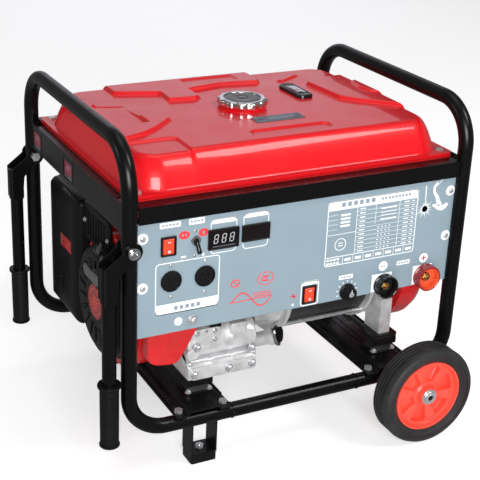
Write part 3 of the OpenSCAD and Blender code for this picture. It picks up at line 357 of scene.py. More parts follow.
F = {
    "frame": finish("frame_gloss_black", (0.0022, 0.0022, 0.0028), 0.27, patch=90, ior=1.36,
                    grain=1.6, grain_depth=0.002, lump=16, lump_depth=0.004, wear=(0.016, 0.016, 0.017),
                    wear_amount=-0.03, rough_swing=0.05),
    "bracket": finish("bracket_satin_black", (0.006, 0.006, 0.007), 0.32, patch=50, ior=1.34,
                      grain=1.2, grain_depth=0.02, wear=STEEL_SHOWING, wear_amount=-0.04, wear_size=5),
    "tank": finish("tank_gloss_red", (0.74, 0.005, 0.010), 0.34, coat=0.55, shade=0.92, patch=160,
                   grain=2.6, grain_depth=0.006, lump=34, lump_depth=0.07, specular=0.3,
                   rough_swing=0.05),
    "red": finish("engine_red", (0.60, 0.010, 0.012), 0.30, coat=0.35, shade=0.8, patch=60,
                  grain=1.4, grain_depth=0.02, lump=22, lump_depth=0.08, coat_rough=0.06),
    "panel": finish("panel_powder_blue_grey", (0.225, 0.298, 0.345), 0.42, shade=0.93, patch=120,
                    grain=0.9, grain_depth=0.03, lump=3.0, lump_depth=0.02, coat=0.15, coat_rough=0.3),
    "box": finish("box_satin_black", (0.010, 0.010, 0.011), 0.5, ior=1.25, patch=40, grain=1.0,
                  grain_depth=0.03),
    "tyre": finish("tyre_rubber", (0.030, 0.029, 0.031), 0.42, shade=0.7, patch=25, grain=0.7,
                   grain_depth=0.05, lump=5, lump_depth=0.05, wear=(0.045, 0.044, 0.042),
                   wear_size=12, ior=1.42),
    "grip": finish("grip_rubber", (0.006, 0.006, 0.007), 0.42, ior=1.3, patch=20, grain=0.8,
                   grain_depth=0.05, wear=(0.05, 0.05, 0.05), wear_size=9),
    "mount": finish("mount_rubber", (0.016, 0.016, 0.017), 0.55, shade=0.6, patch=14, grain=0.9,
                    grain_depth=0.06, wear=(0.06, 0.06, 0.06)),
    "hub": finish("hub_coral_plastic", (0.90, 0.075, 0.045), 0.34, coat=0.2, shade=0.88, patch=40,
                  grain=0.8, grain_depth=0.02, lump=9, lump_depth=0.04, coat_rough=0.2),
    "black": finish("black_plastic", (0.007, 0.007, 0.008), 0.34, patch=18, grain=0.5, ior=1.27,
                    grain_depth=0.02, wear=(0.03, 0.03, 0.03), wear_amount=-0.02),
    "gloss_black": finish("glossy_black_plastic", (0.005, 0.005, 0.006), 0.12, patch=25, specular=0.55,
                          grain=1.6, grain_depth=0.004, rough_swing=0.04),
    # glow=0.12 here is painted glow: the red plastic of the rocker caps and the recoil badge print gives off
    # light though it is no lamp.
    "red_plastic": finish("rocker_red_plastic_painted_glow", (0.72, 0.055, 0.02), 0.22, coat=0.4, patch=9,
                          grain=0.5, grain_depth=0.01, glow=0.12),
    "dark_red": finish("terminal_dark_red", (0.30, 0.012, 0.012), 0.28, coat=0.5, patch=12,
                       grain=0.6, grain_depth=0.012),
    "orange_red": finish("terminal_orange_red", (0.80, 0.10, 0.03), 0.35, coat=0.3, patch=10,
                         grain=0.6, grain_depth=0.012),
    "zinc": finish("bright_zinc", (0.74, 0.75, 0.77), 0.27, metal=0.75, patch=12, grain=0.5,
                   grain_depth=0.004, wear=(0.34, 0.33, 0.31), wear_size=3),
    "chrome": finish("bright_chrome", (0.80, 0.81, 0.82), 0.10, metal=1.0, patch=20, shade=0.9,
                     rough_swing=0.05, grain=0.9, grain_depth=0.004),
    "cap_top": finish("brushed_cap_top", (0.20, 0.20, 0.205), 0.34, metal=1.0, patch=18,
                      stretch=(1, 9, 1), grain=1.2, grain_depth=0.02, aniso=0.5),
    "brass": finish("turned_brass", (0.70, 0.46, 0.17), 0.28, metal=1.0, patch=6, grain=0.3,
                    grain_depth=0.01, wear=(0.38, 0.25, 0.10), wear_amount=0.02, wear_size=2),
    "cast": finish("cast_aluminium", (0.80, 0.80, 0.81), 0.44, metal=0.55, shade=0.7, patch=22,
                   grain=0.9, grain_depth=0.12, lump=4.5, lump_depth=0.12, wear=(0.20, 0.19, 0.18),
                   wear_amount=0.03, wear_size=6),
    "machined": finish("machined_aluminium", (0.62, 0.63, 0.64), 0.28, metal=1.0, patch=20,
                       stretch=(1, 1, 6), grain=0.7, grain_depth=0.015, aniso=0.3),
    "machine_steel": finish("machine_steel", (0.42, 0.42, 0.43), 0.33, metal=1.0, patch=10,
                            grain=0.4, grain_depth=0.02, wear=(0.16, 0.13, 0.10), wear_amount=0.01),
    "winding": finish("lacquered_winding", (0.34, 0.10, 0.035), 0.3, metal=0.6, coat=0.5, patch=8,
                      grain=1.4, grain_depth=0.25),
    "wrap": finish("stator_black_wrap", (0.022, 0.022, 0.024), 0.45, patch=30, grain=1.2,
                   grain_depth=0.03, coat=0.2, coat_rough=0.3),
    "muffler": finish("heat_greyed_steel", (0.20, 0.19, 0.18), 0.48, metal=0.9, patch=45, grain=1.2,
                      grain_depth=0.04, wear=(0.13, 0.075, 0.045), wear_amount=0.05, wear_size=18),
    "yellow": finish("yellow_lead", (0.78, 0.50, 0.02), 0.38, patch=10, grain=0.6, grain_depth=0.02),
    "hose": finish("hose_rubber", (0.02, 0.02, 0.021), 0.55, patch=10, grain=0.6, grain_depth=0.04),
    "print_white": finish("white_print", (0.82, 0.84, 0.86), 0.45, shade=0.93, patch=30, grain=0.8,
                          grain_depth=0.01),
    "print_red": finish("red_print", (0.80, 0.03, 0.035), 0.4, shade=0.92, patch=20, grain=0.8,
                        grain_depth=0.01),
    "print_grey": finish("grey_print", (0.22, 0.27, 0.33), 0.42, shade=0.93, patch=30, grain=0.8,
                         grain_depth=0.01),
    # glow=0.25 here is painted glow: the meter figures give off light though they are no lamp.
    "digits": finish("pale_digits_painted_glow", (0.42, 0.43, 0.45), 0.4, patch=5, glow=0.25),
    "meter_glass": finish("meter_dark_glass", (0.007, 0.004, 0.005), 0.08, specular=0.35, patch=30,
                          grain=4, grain_depth=0.002, rough_swing=0.02),
    "vent": finish("grey_moulding", (0.06, 0.063, 0.07), 0.42, patch=14, grain=0.6, grain_depth=0.03,
                   shade=0.8),
    "pull_grey": finish("pull_grip_grey", (0.10, 0.10, 0.105), 0.4, patch=12, grain=0.6,
                        grain_depth=0.03, coat=0.2, coat_rough=0.2),
    "tag_red": finish("faded_red_field", (0.26, 0.03, 0.055), 0.4, patch=12, grain=0.8, grain_depth=0.01),
    "tag_grey": finish("grey_tag_field", (0.085, 0.09, 0.105), 0.4, patch=12, grain=0.8, grain_depth=0.01),
    "rope": finish("braided_rope", (0.055, 0.055, 0.06), 0.7, patch=6, grain=0.5, grain_depth=0.2),
    "ceramic": finish("plug_ceramic", (0.80, 0.79, 0.75), 0.2, coat=0.6, patch=10, grain=0.8,
                      grain_depth=0.005),
}

NODE_FINISH = {
    "frame": "left_hoop right_hoop frame_rails tank_rails front_handle back_handle",
    "bracket": "cross_members frame_brackets foot_pads mount_brackets",
    "zinc": "frame_bolts through_bolts axle panel_screws",
    "mount": "rubber_mounts",
    "tyre": "front_tyre back_tyre",
    "hub": "front_hub back_hub",
    "grip": "front_grip back_grip",
    "tank": "tank_shell filler_neck",
    "red": "tank_pan blower_housing end_cover",
    "chrome": "fuel_cap selector_lever",
    "gloss_black": "fuel_gauge black_terminal",
    "panel": "control_panel",
    "box": "control_box",
    "black": "switch_bodies meters ac_sockets current_knob air_filter recoil_cover dipstick_cap",
    "red_plastic": "engine_rocker idle_rocker",
    "dark_red": "red_terminal",
    "machined": "rectifier flywheel",
    "cast": "crankcase cylinder alternator_bells carburettor",
    "machine_steel": "crankshaft bearings choke_lever head_cover",
    "winding": "rotor",
    "wrap": "stator",
    "muffler": "muffler",
    "yellow": "wiring_leads",
    "hose": "fuel_hose",
    "pull_grey": "starter_grip",
    "ceramic": "spark_plug",
}


def dress_nodes():
    """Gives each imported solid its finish."""
    for key, names in NODE_FINISH.items():
        for name in names.split():
            data = NODES[name].data
            data.materials.clear()
            data.materials.append(F[key])


dress_nodes()


# ---- Tank ----

TANK_LOW, TANK_HIGH = node_box("tank_shell")
CAP_X, CAP_Y = node_middle("filler_neck")[:2]
NECK_R = node_size("filler_neck")[0] / 2
NECK_TOP = node_box("filler_neck")[1][2]
TANK_TOP = node_box("fuel_gauge")[0][2] - 0.1
TANK_FLANGE = 6.0
TANK_CORNER = 13.6
RISER = 7.0
WALL_RUN = 34.0
RIM_GRID = (70, 1.35, 2.0)
CAP_RING = 96

# Outlines of the pressed levels of the top, each a closed run of corners and how far it stands up
BACK_LEVEL = [(128, 520), (130, 403), (146, 394), (211, 372), (214, 362), (211, 322), (262, 314),
              (276, 322), (278, 372), (356, 388), (431, 377), (440, 392), (440, 520)]
LEFT_LEVEL = [(-20, 122), (54, 138), (92, 152), (122, 172), (150, 198), (166, 214), (166, 232),
              (140, 250), (122, 250), (119, 320), (72, 336), (62, 352), (60, 372), (-20, 384)]
LEFT_POCKET = [(66, 205), (119, 205), (119, 321), (71, 338), (60, 330)]
RIGHT_LEVEL = [(690, 132), (617, 144), (552, 200), (530, 226), (521, 337), (532, 352), (560, 362),
               (690, 372)]
RIGHT_RIDGE = [(690, 206), (632, 212), (604, 232), (596, 262), (604, 300), (632, 330), (690, 336)]
RIGHT_GROOVE = [(690, 244), (640, 250), (630, 268), (640, 288), (690, 296)]
CENTRE_POCKET = [(436, 190), (436, 378), (452, 392), (466, 392), (466, 190), (452, 180)]
BACK_PLATE = [(286, 404), (398, 404), (398, 436), (286, 436)]
BACK_BAR = [(484, 370), (536, 402), (529, 413), (477, 381)]
FRONT_STADIUM = [(276, 84), (426, 84), (430, 90), (430, 104), (424, 110), (280, 110), (272, 104),
                 (272, 90)]
FRONT_NOTCH = [(-20, 20), (128, 20), (137, 30), (137, 120), (128, 128), (-20, 128)]
PRESSED = [(BACK_LEVEL, 7.0), (LEFT_LEVEL, 6.5), (LEFT_POCKET, -6.5), (RIGHT_LEVEL, 7.0),
           (RIGHT_RIDGE, 4.0), (RIGHT_GROOVE, -4.0), (BACK_PLATE, -3.0), (BACK_BAR, 4.0),
           (FRONT_STADIUM, -3.5), (FRONT_NOTCH, -4.0)]


def inside(x, y, outline):
    """How far each point is inside a closed outline, in millimetres; negative outside.

    The distance to the nearest side, with its sign from how many sides lie to the right.
    """
    near = np.full(x.shape, 1e9)
    crossings = np.zeros(x.shape, int)
    corners = np.array(outline, float)
    for (x0, y0), (x1, y1) in zip(corners, np.roll(corners, -1, 0)):
        dx, dy = x1 - x0, y1 - y0
        t = np.clip(((x - x0) * dx + (y - y0) * dy) / (dx * dx + dy * dy), 0, 1)
        near = np.minimum(near, np.hypot(x - x0 - t * dx, y - y0 - t * dy))
        spans = (y0 > y) != (y1 > y)
        crossings += spans & (x < x0 + dx * (y - y0) / (dy if dy else 1.0))
    return np.where(crossings % 2 == 1, near, -near)


def step(value, low, high):
    """A smooth step from 0 at low to 1 at high."""
    t = np.clip((value - low) / (high - low), 0, 1)
    return t * t * (3 - 2 * t)


def rounded_distance(x, y, w, h, r):
    """How far each point is inside a w x h rectangle with corners of radius r, centred on the origin."""
    qx, qy = np.abs(x) - w / 2 + r, np.abs(y) - h / 2 + r
    return r - np.hypot(np.maximum(qx, 0), np.maximum(qy, 0)) - np.minimum(np.maximum(qx, qy), 0)


def spaced(length, edge, fine, coarse):
    """Places from 0 to length: fine steps within edge of both ends, coarse steps between."""
    rim = np.linspace(0, edge, int(edge / fine) + 1)
    core = np.linspace(edge, length - edge, int((length - 2 * edge) / coarse) + 1)[1:-1]
    return np.concatenate([rim, core, length - rim[::-1]])


def tank_height(x, y):
    """The pressed top's height over its flange's foot.

    Inwards from the edge: a flat flange, a steep wall that rounds over, and a top that crowns a
    little; the walls lean more at the front and back than at the ends. Each pressed level adds
    a smooth step across its outline.
    """
    low, high = TANK_LOW, TANK_HIGH
    w, h = high[0] - low[0], high[1] - low[1]
    u, v = x - (low[0] + high[0]) / 2, y - (low[1] + high[1]) / 2
    edge = rounded_distance(u, v, w - 20, h - 18, 62)
    lean = 1.0 + 0.25 * step(np.abs(v), h / 2 - 90, h / 2 - 10)
    climb = np.clip(edge / (WALL_RUN * lean), 0, 1)
    wall = 1 - (1 - climb) ** 2.1
    rise = TANK_TOP - 1.5 - (low[2] + TANK_FLANGE)
    crown = 2.0 * np.cos(np.clip(u / w, -0.5, 0.5) * math.pi) * np.cos(np.clip(v / h, -0.5, 0.5) * math.pi)
    relief = np.zeros(x.shape)
    for outline, lift in PRESSED:
        relief = relief + lift * step(inside(x, y, outline), -RISER / 2, RISER / 2)
    fade = step(edge, 4, 26)
    flat = step(np.hypot(x - CAP_X, y - CAP_Y), NECK_R - 2, NECK_R + 10)
    pressed = relief * flat + crown * (0.3 + 0.7 * flat)
    return TANK_FLANGE + step(edge, 0, 1.5) * wall * rise + fade * pressed


def pressed_tank():
    """The tank's upper shell: a height over a grid whose corner squares bend into rounded corners."""
    low, high = TANK_LOW, TANK_HIGH
    xs = spaced(high[0] - low[0], *RIM_GRID)
    ys = spaced(high[1] - low[1], *RIM_GRID)
    x, y = np.meshgrid(xs - (high[0] - low[0]) / 2, ys - (high[1] - low[1]) / 2, indexing="ij")
    r = TANK_CORNER
    w, h = (high[0] - low[0]) / 2, (high[1] - low[1]) / 2
    a, b = np.clip((np.abs(x) - w + r) / r, 0, 1), np.clip((np.abs(y) - h + r) / r, 0, 1)
    x = np.sign(x) * np.where(a > 0, w - r + r * a * np.sqrt(1 - b * b / 2), np.abs(x))
    y = np.sign(y) * np.where(b > 0, h - r + r * b * np.sqrt(1 - a * a / 2), np.abs(y))
    x, y = x + (low[0] + high[0]) / 2, y + (low[1] + high[1]) / 2
    top = np.stack([x, y, low[2] + tank_height(x, y)], axis=2)
    rim = np.concatenate([top[:, 0], top[-1, 1:], top[-2::-1, -1], top[0, -2:0:-1]])
    middle = np.tile(rim.mean(0), (len(rim), 1))
    foot = np.stack([rim, rim - (0, 0, TANK_FLANGE - 0.6), middle - (0, 0, TANK_FLANGE - 0.6)])
    foot[1] += (middle[0] - foot[1]) * 0.001
    foot[2, :, 2] = foot[1, :, 2]
    return together(surface(top), surface(foot, close_columns=True))


def neck_profile():
    """The filler neck's two bulged steps, as wide as the cap, from the tank's top to under the cap."""
    foot, top = TANK_TOP - 2.5, NECK_TOP - 0.3
    bore = 30
    bulges = ((5.5, 0), (5, 0.28), (2.0, 0.36), (2.4, 0.44), (1.6, 0.52), (0, 0.56), (0, 0.9))
    steps = [(NECK_R + out, foot + share * (top - foot)) for out, share in bulges]
    return [(bore, foot)] + steps + [(NECK_R - 1.5, top), (bore, top)]


def lobed_cap():
    """The fuel cap: a rim whose radius swings in and out twelve times, a bead, and a sunk top.

    The radius is the profile's, less a scallop of up to 2.7 mm that fades from the rim to the bead.
    """
    low, high = node_box("fuel_cap")
    foot, top = NECK_TOP - 4.6, high[2]
    r = (high[0] - low[0]) / 2 - 1.2
    profile = np.array([(38, foot, 0), (r - 3, foot, 0.4), (r - 0.6, foot + 0.8, 0.9),
                        (r, foot + 2.4, 1), (r, top - 4.2, 1), (r - 1.0, top - 2.4, 0.9),
                        (r - 4, top - 0.8, 0.6), (r - 8, top, 0.25),
                        (r - 10.5, top - 0.1, 0), (r - 12.2, top - 0.9, 0), (r - 12.8, top - 2.0, 0),
                        (r - 13.0, top - 3.0, 0), (0, top - 3.0, 0)])
    angle = all_round(240)
    wave = np.cos(12 * angle)
    radius = profile[:, 0] + 1.35 * profile[:, 2] * (np.sign(wave) * np.abs(wave) ** 0.6 - 1)
    grid = carried_round(radius, profile[:, 1], angle)
    grid = np.concatenate([grid, 0 * grid[:, :1] + (0, 0, foot)], axis=1)
    return surface(grid, True, False)


def fuel_gauge():
    """The gauge: a bezel with a pocket, its face with marks and a needle, and a clear lens."""
    low, high = node_box("fuel_gauge")
    w, h, t = high - low
    spot = ((low[0] + high[0]) / 2, (low[1] + high[1]) / 2, low[2])
    bezel = together(moulded(w, h, 13, [(0, 0), (0, t - 3), (0.8, t - 1.4), (2.2, t - 0.6), (2.2, t - 2)]),
                     hollow(w - 4, h - 4, 11, t - 0.2, 3.4, 0.8),
                     moved(slab(w - 10, 16, 1.6, 3), (0, h / 2 - 14, t - 2.4)),
                     moved(slab(w - 10, 14, 1.6, 3), (0, 13 - h / 2, t - 2.4)))
    piece("fuel_gauge_bezel", moved(bezel, spot), F["gloss_black"], "frame", ["fuel_gauge"])
    face = moved(slab(w - 14, h - 44, 0.5, 2.5, 0.1), (0, 0, t - 2.1))
    piece("fuel_gauge_face", moved(face, spot), F["print_white"], "frame")
    marks = [moved(slab(5.5, 1.1, 0.3, 0.4, 0.05, 3), (3.5, y, t - 1.65)) for y in np.linspace(-17, 17, 5)]
    needle = moved(turn_about(slab(1.2, 13, 0.5, 0.5, 0.1, 3), -62), (-3, -6, t - 1.6))
    piece("fuel_gauge_marks", moved(together(*marks, needle), spot), F["print_red"], "frame")
    lens = moulded(w - 13, h - 42, 4, [(0, 0), (0.2, 0.7), (2, 1.3), (5, 1.6)])
    piece("fuel_gauge_lens", moved(moved(lens, (0, 0, t - 1.2)), spot), clear_plastic(), "frame")


def tank_tag():
    """A plate on the sloping top in front of the cap, with an outline, a sign and three bars."""
    slope = math.radians(1.5)
    tilt = (0.0, math.cos(slope), math.sin(slope))
    spot = (357, 158, TANK_TOP + 0.35)
    plate = slab(100, 30, 0.9, 1.5, 0.2)
    piece("tank_tag_plate", moved(plate, spot, y=tilt), F["tag_grey"], "frame")
    bars = [moved(slab(width, 3.0, 0.25, 0.4, 0.05, 3), (x, y, 0.85))
            for x, y, width in ((8, 6, 62), (6, 0.5, 58), (2, -5, 50))]
    sign = moved(hollow(17, 19, 1.5, 0.3, 1.5, 0.1), (-36, 0, 0.85))
    rim = moved(hollow(98, 28, 1.5, 0.35, 1.2, 0.1), (0, 0, 0.7))
    piece("tank_tag_print", moved(together(*bars, sign, rim), spot, y=tilt), F["print_grey"], "frame")


def tank():
    """The pressed shell, the filler neck, the cap with its disc, the gauge and the tag."""
    here = (CAP_X, CAP_Y, 0)
    piece("tank_upper_shell", pressed_tank(), F["tank"], "frame", ["tank_shell"], 60)
    piece("filler_neck_steps", moved(turned(neck_profile(), CAP_RING), here), F["tank"], "frame",
          ["filler_neck"], 40)
    piece("fuel_cap_rim", moved(lobed_cap(), here), F["chrome"], "fuel_cap", ["fuel_cap"], 38)
    cap_top = node_box("fuel_cap")[1][2]
    disc = [(0, -3.2), (33.4, -3.2), (33.6, -1.9), (33.0, -1.5), (12, -1.1), (11.4, -1.5), (10.6, -1.5),
            (10, -1.1), (0, -0.9)]
    piece("fuel_cap_disc", moved(turned(disc, CAP_RING), (CAP_X, CAP_Y, cap_top)), F["cap_top"],
          "fuel_cap", (), 40)
    fuel_gauge()
    tank_tag()


def clear_plastic():
    """A clear lens: light passes through, with a sharp gloss."""
    material = bpy.data.materials.new("clear_lens")
    material.use_nodes = True
    tree = material.node_tree
    shader = tree.nodes["Principled BSDF"]
    shader.inputs["Base Color"].default_value = (0.95, 0.97, 1.0, 1)
    shader.inputs["Transmission Weight"].default_value = 1.0
    shader.inputs["IOR"].default_value = 1.2
    place = tree.nodes.new("ShaderNodeTexCoord").outputs["Object"]
    tree.links.new(spread(tree, noise(tree, place, 6.0), 0.3, 0.7, 0.02, 0.09), shader.inputs["Roughness"])
    return material


tank()


# ---- Control panel ----

INK = 0.14
GREY_INK = INK + 0.12
SUNK = 0.05
BLACK_TERMINAL = (511, 319)
RED_TERMINAL = (603, 321)
EARTH_BOLT = (118, 322)


def print_slab(x, z, w, h, r=0.6, turn=0.0, lift=0.0):
    """A printed patch, w x h, standing an ink's depth off the panel, or more by lift."""
    return on_front(turn_about(moulded(w, h, r, [(0, -SUNK), (0, INK + lift)], 4), turn), x, z)


def print_frame(x0, z0, x1, z1, r, line):
    """A printed outline with round corners."""
    return on_front(hollow(x1 - x0, z1 - z0, r, INK, line, 0.02), (x0 + x1) / 2, (z0 + z1) / 2)


def print_disc(x, z, radius, stretch=1.0):
    """A printed disc, or an oval where it is stretched upwards."""
    part = turned([(0, -SUNK), (radius, -SUNK), (radius, INK), (0, INK)], 40)
    return on_front(moved(part, y=(0, stretch, 0)), x, z)


def print_ring(x, z, radius, line, stretch=1.0):
    """A printed circle or oval outline."""
    profile = [(radius - line, -SUNK), (radius, -SUNK), (radius, INK), (radius - line, INK)]
    return on_front(moved(turned(profile, 48), y=(0, stretch, 0)), x, z)


def stroke(points, line, depth=INK, foot=-SUNK):
    """A flat band along a run of (x, y) points: half its width to each side of the run's direction."""
    p = np.asarray(points, float)
    along = np.gradient(p, axis=0)
    along /= np.linalg.norm(along, axis=1, keepdims=True)
    side = np.stack([-along[:, 1], along[:, 0]], 1) * np.asarray(line, float).reshape(-1, 1) / 2
    runs = [np.column_stack([q, np.full(len(p), z)])
            for q, z in ((p - side, foot), (p + side, foot), (p + side, depth), (p - side, depth))]
    return capped(np.stack(runs, 1))


def arc(radius, start, end, count=24):
    """Points on a circle about the origin, between two angles in degrees."""
    a = np.radians(np.linspace(start, end, count))
    return np.stack([radius * np.cos(a), radius * np.sin(a)], 1)


def socket_print():
    """The outlet frame with its solid foot, and the earth sign's disc."""
    x0, x1, z0, z1 = 47, 167, 341.5, 438
    band = print_slab((x0 + x1) / 2, z0 + 9.5, x1 - x0 - 1, 19, 6)
    square = print_slab((x0 + x1) / 2, z0 + 14.5, x1 - x0 - 1, 9.5, 0.4, 0, 0.03)
    return [print_frame(x0, z0, x1, z1, 7, 1.6), band, square, print_disc(91, 324, 7.6),
            print_slab(98, 444, 9, 3.4), print_slab(135, 443, 4, 5)]


def meter_print():
    """Round-cornered frames with thick heads round both meters."""
    parts = []
    for x0, x1, z0, z1 in ((147.5, 197.5, 440.5, 504), (209.5, 259, 439.5, 506)):
        middle = (x0 + x1) / 2
        parts.append(print_frame(x0, z0, x1, z1, 8, 1.4))
        parts.append(print_slab(middle, z1 - 4.6, x1 - x0 - 2, 8.4, 4))
    return parts


def switch_print():
    """White labels over the controls, with the frame and head round the idle switch."""
    labels = [(73, 506, 38, 10), (121.5, 506, 29, 11), (426.5, 349, 30, 8.2), (551.5, 357, 29, 8.2)]
    parts = [print_slab(x, z, w, h, 0.8) for x, z, w, h in labels]
    parts.append(print_frame(332.5, 305.6, 370, 355, 6, 2.0))
    parts.append(print_slab(351.2, 350.4, 35, 7.6, 3.4))
    parts.append(print_slab(317, 312.5, 4, 5, 1))
    return parts


def terminal_print():
    """Squares behind the two terminals and the discs of their signs."""
    parts = [print_slab(506, 324.5, 44, 36, 1), print_slab(597, 325.5, 43, 38, 1)]
    parts += [print_disc(507, 357, 9.6), print_disc(597.5, 358.5, 9.6)]
    return parts


def dial_print():
    """Eleven ticks on a circle round the current knob, long at its two ends."""
    x, _, z = node_middle("current_knob")
    r = node_size("current_knob")[0] / 2 + 4.6
    parts = []
    for k, a in enumerate(np.linspace(-135, 135, 11)):
        long = 2.2 if k in (0, 10) else 0.0
        s, c = math.sin(math.radians(a)), math.cos(math.radians(a))
        if z + r * c < 307.5:
            continue
        parts.append(print_slab(x + r * s, z + r * c, 1.9, 4.2 + long, 0.5, -a))
    return parts


def rating_print():
    """The rating table: outline, head band, columns, rows, a foot of cells and short bars for figures."""
    x0, x1, z0, z1 = 378, 571, 376, 502
    head, foot, split = 484.0, 393.0, 440.0
    parts = [print_frame(x0, z0, x1, z1, 5, 1.7)]
    parts.append(print_slab((x0 + x1) / 2, (head + z1) / 2, x1 - x0 - 1.6, z1 - head - 1, 3.6))
    parts.append(print_slab((x0 + x1) / 2, head + 2, x1 - x0 - 1.6, 4, 0.4, 0, 0.03))

    def across(xa, xb, z, line=0.8):
        parts.append(print_slab((xa + xb) / 2, z, xb - xa, line, 0.3))

    def upright(x, za, zb, line=0.8):
        parts.append(print_slab(x, (za + zb) / 2, line, zb - za, 0.3))

    across(x0, x1, foot, 1.3)
    upright(split, foot, head, 1.0)
    upright(531, foot, head, 0.9)
    upright(480, 446, head, 0.7)
    across(x0, split, 437, 0.9)
    for z in np.linspace(foot, head, 12)[1:-1]:
        across(split, x1, z, 0.55)
    for z in (475, 466, 457, 447):
        across(x0, 400, z, 0.5)
    for x in np.linspace(416, x1 - 1, 8)[:-1]:
        upright(x, z0, foot, 0.8)
    for row in np.linspace(foot + 4.2, head - 4.2, 11):
        for x, w in ((488, 3.2), (496, 3.2), (504, 3.2), (512, 3.2), (547, 11), (561, 6), (452, 12)):
            if x in (488, 496, 504, 512) and row > 440:
                continue
            parts.append(print_slab(x, row, w, 2.0, 0.5))
    for z in (474, 467, 460, 453):
        parts.append(print_slab(508, z, 34, 2.2, 0.5))
        parts.append(print_slab(416, z - 1, 20, 3.6, 0.6))
    parts.append(print_ring(409, 416.5, 12.0, 1.3))
    parts.append(print_slab(409, 419, 10, 1.6))
    parts.append(print_slab(409, 414, 10, 1.6))
    for x in (385, 392, 399, 406):
        for z in (388, 381):
            parts.append(print_slab(x, z, 5.2, 3.6, 0.6))
    for x in np.linspace(416, x1 - 1, 8)[:-1]:
        parts.append(print_slab(x + 11, 384.5, 13, 5.2, 0.6))
    return parts


def spark_print():
    """The arc sign: a bright core with tapering rays, the rod above it and a plain clamp with a glove."""
    x, z = 588.0, 459.0
    parts = [print_disc(x, z, 6.4)]
    lengths = (16, 12, 19, 13, 17, 11, 14, 10, 13, 12, 15, 20, 14, 18, 13, 17, 12, 19, 14, 16)
    for k, reach in enumerate(lengths):
        a = 2 * math.pi * k / len(lengths) + 0.12
        run = np.linspace(0, 1, 5)[:, None] * np.array([[math.cos(a), math.sin(a)]]) * reach
        width = np.linspace(2.6, 0.35, 5)
        parts.append(on_front(stroke(run, width), x, z))
    parts.append(on_front(stroke([(0, 8), (-0.6, 28), (-1.4, 46)], (1.0, 2.0, 2.2)), x, z))
    glove = curve([(612, 509), (606, 500), (607, 489), (613, 480), (617, 470), (622, 462)], 24)
    parts.append(on_front(stroke(glove, np.linspace(3.5, 9, 24)), 0, 0))
    hand = curve([(605, 464), (612, 462), (619, 458), (627, 456), (634, 459), (639, 463)], 24)
    parts.append(on_front(stroke(hand, 2 + 8 * np.sin(np.linspace(0.1, 2.8, 24)) ** 0.8), 0, 0))
    parts.append(on_front(stroke([(608, 500), (616, 506), (622, 513)], (1.4, 1.4, 1.0)), 0, 0))
    return parts


def red_print_parts():
    """Ovals beside the lever, the sine sign with its rising lines, a round mark and the plus sign."""
    parts = [print_disc(99, 483.5, 10, 0.74), print_disc(134.5, 483.5, 9.2, 0.78)]
    t = np.linspace(0, 2 * math.pi, 60)
    wave = np.stack([193 + 79 * t / (2 * math.pi), 340 + 15.5 * np.sin(t)], 1)
    parts.append(on_front(stroke(wave, 1.8 + 0.7 * np.abs(np.sin(t))), 0, 0))
    parts.append(on_front(stroke([(188, 339.5), (215, 340), (243, 340), (272, 340.6)], 1.5), 0, 0))
    for z, x0, x1 in ((350.5, 235, 269), (347.0, 235, 270), (343.6, 236, 271)):
        parts.append(on_front(stroke([(x0, z), ((x0 + x1) / 2, z), (x1, z)], 1.3), 0, 0))
    parts.append(print_ring(258.5, 376, 16.5, 1.7, 0.78))
    for dx in (-5, 0, 5):
        parts.append(on_front(stroke(arc(4.6, 60, 300) + (dx, 0), 1.8), 259.5, 376))
    parts.append(print_ring(199, 376.5, 9, 2.2, 0.85))
    parts.append(on_front(stroke([(-4, 4), (1.5, 0.8), (-1.5, -0.8), (4, -4)], 1.8), 199, 376.5))
    parts.append(on_front(stroke([(-7, 0), (7, 0)], 2.2), 318, 329.5))
    parts.append(on_front(stroke([(-3, 5), (3, -5)], 2.2), 318, 329.5))
    for run in ([(-5.4, 0), (5.4, 0)], [(0, -5.4), (0, 5.4)]):
        parts.append(on_front(stroke(run, 2.2, 2 * INK + 0.1), 597.5, 358.5))
    return parts


def dash(x, z, w, line):
    """A level bar of grey print on a white label."""
    return on_front(stroke([(-w / 2, 0), (w / 2, 0)], line, GREY_INK), x, z)


def grey_print_parts():
    """Greyed bars on the white labels, the minus sign and the earth sign's three bars."""
    parts = []
    for x, z, count, w in ((73, 506, 5, 4.6), (121.5, 506, 4, 4.4), (426.5, 349, 4, 4.4),
                           (551.5, 357, 4, 4.4)):
        parts += [dash(x + (k - (count - 1) / 2) * (w + 1.8), z, w, 3.0) for k in range(count)]
    parts.append(dash(507, 357, 10, 1.8))
    parts += [dash(91, 323 - 2.2 * k, w, 0.9) for k, w in enumerate((8.4, 5.4, 2.6))]
    parts.append(on_front(stroke([(0, -1), (0, 5)], 0.9, GREY_INK), 91, 324))
    parts += [dash(410 + 12.5 * k, 493.4, 8, 8.5) for k in range(6)]
    parts += [dash(492 + 7.4 * k, 493.4, 4.8, 4.5) for k in range(9)]
    parts += [dash(86 + 10.5 * k, 351, 6.8, 7.5) for k in range(5)]
    parts += [dash(96, 483.5, 2.8, 5), dash(102, 483.5, 2.8, 5), dash(134.5, 483.5, 3.6, 7)]
    return parts


def panel_prints():
    """All printed marks: white labels, the rating table, the arc sign, red signs and grey bars."""
    white = socket_print() + meter_print() + switch_print() + terminal_print() + dial_print()
    piece("panel_white_print", together(*white), F["print_white"], "frame")
    piece("rating_table_print", together(*rating_print()), F["print_white"], "frame")
    piece("arc_sign_print", together(*spark_print()), F["print_white"], "frame")
    piece("panel_red_print", together(*red_print_parts()), F["print_red"], "frame")
    piece("panel_grey_print", together(*grey_print_parts()), F["print_grey"], "frame")


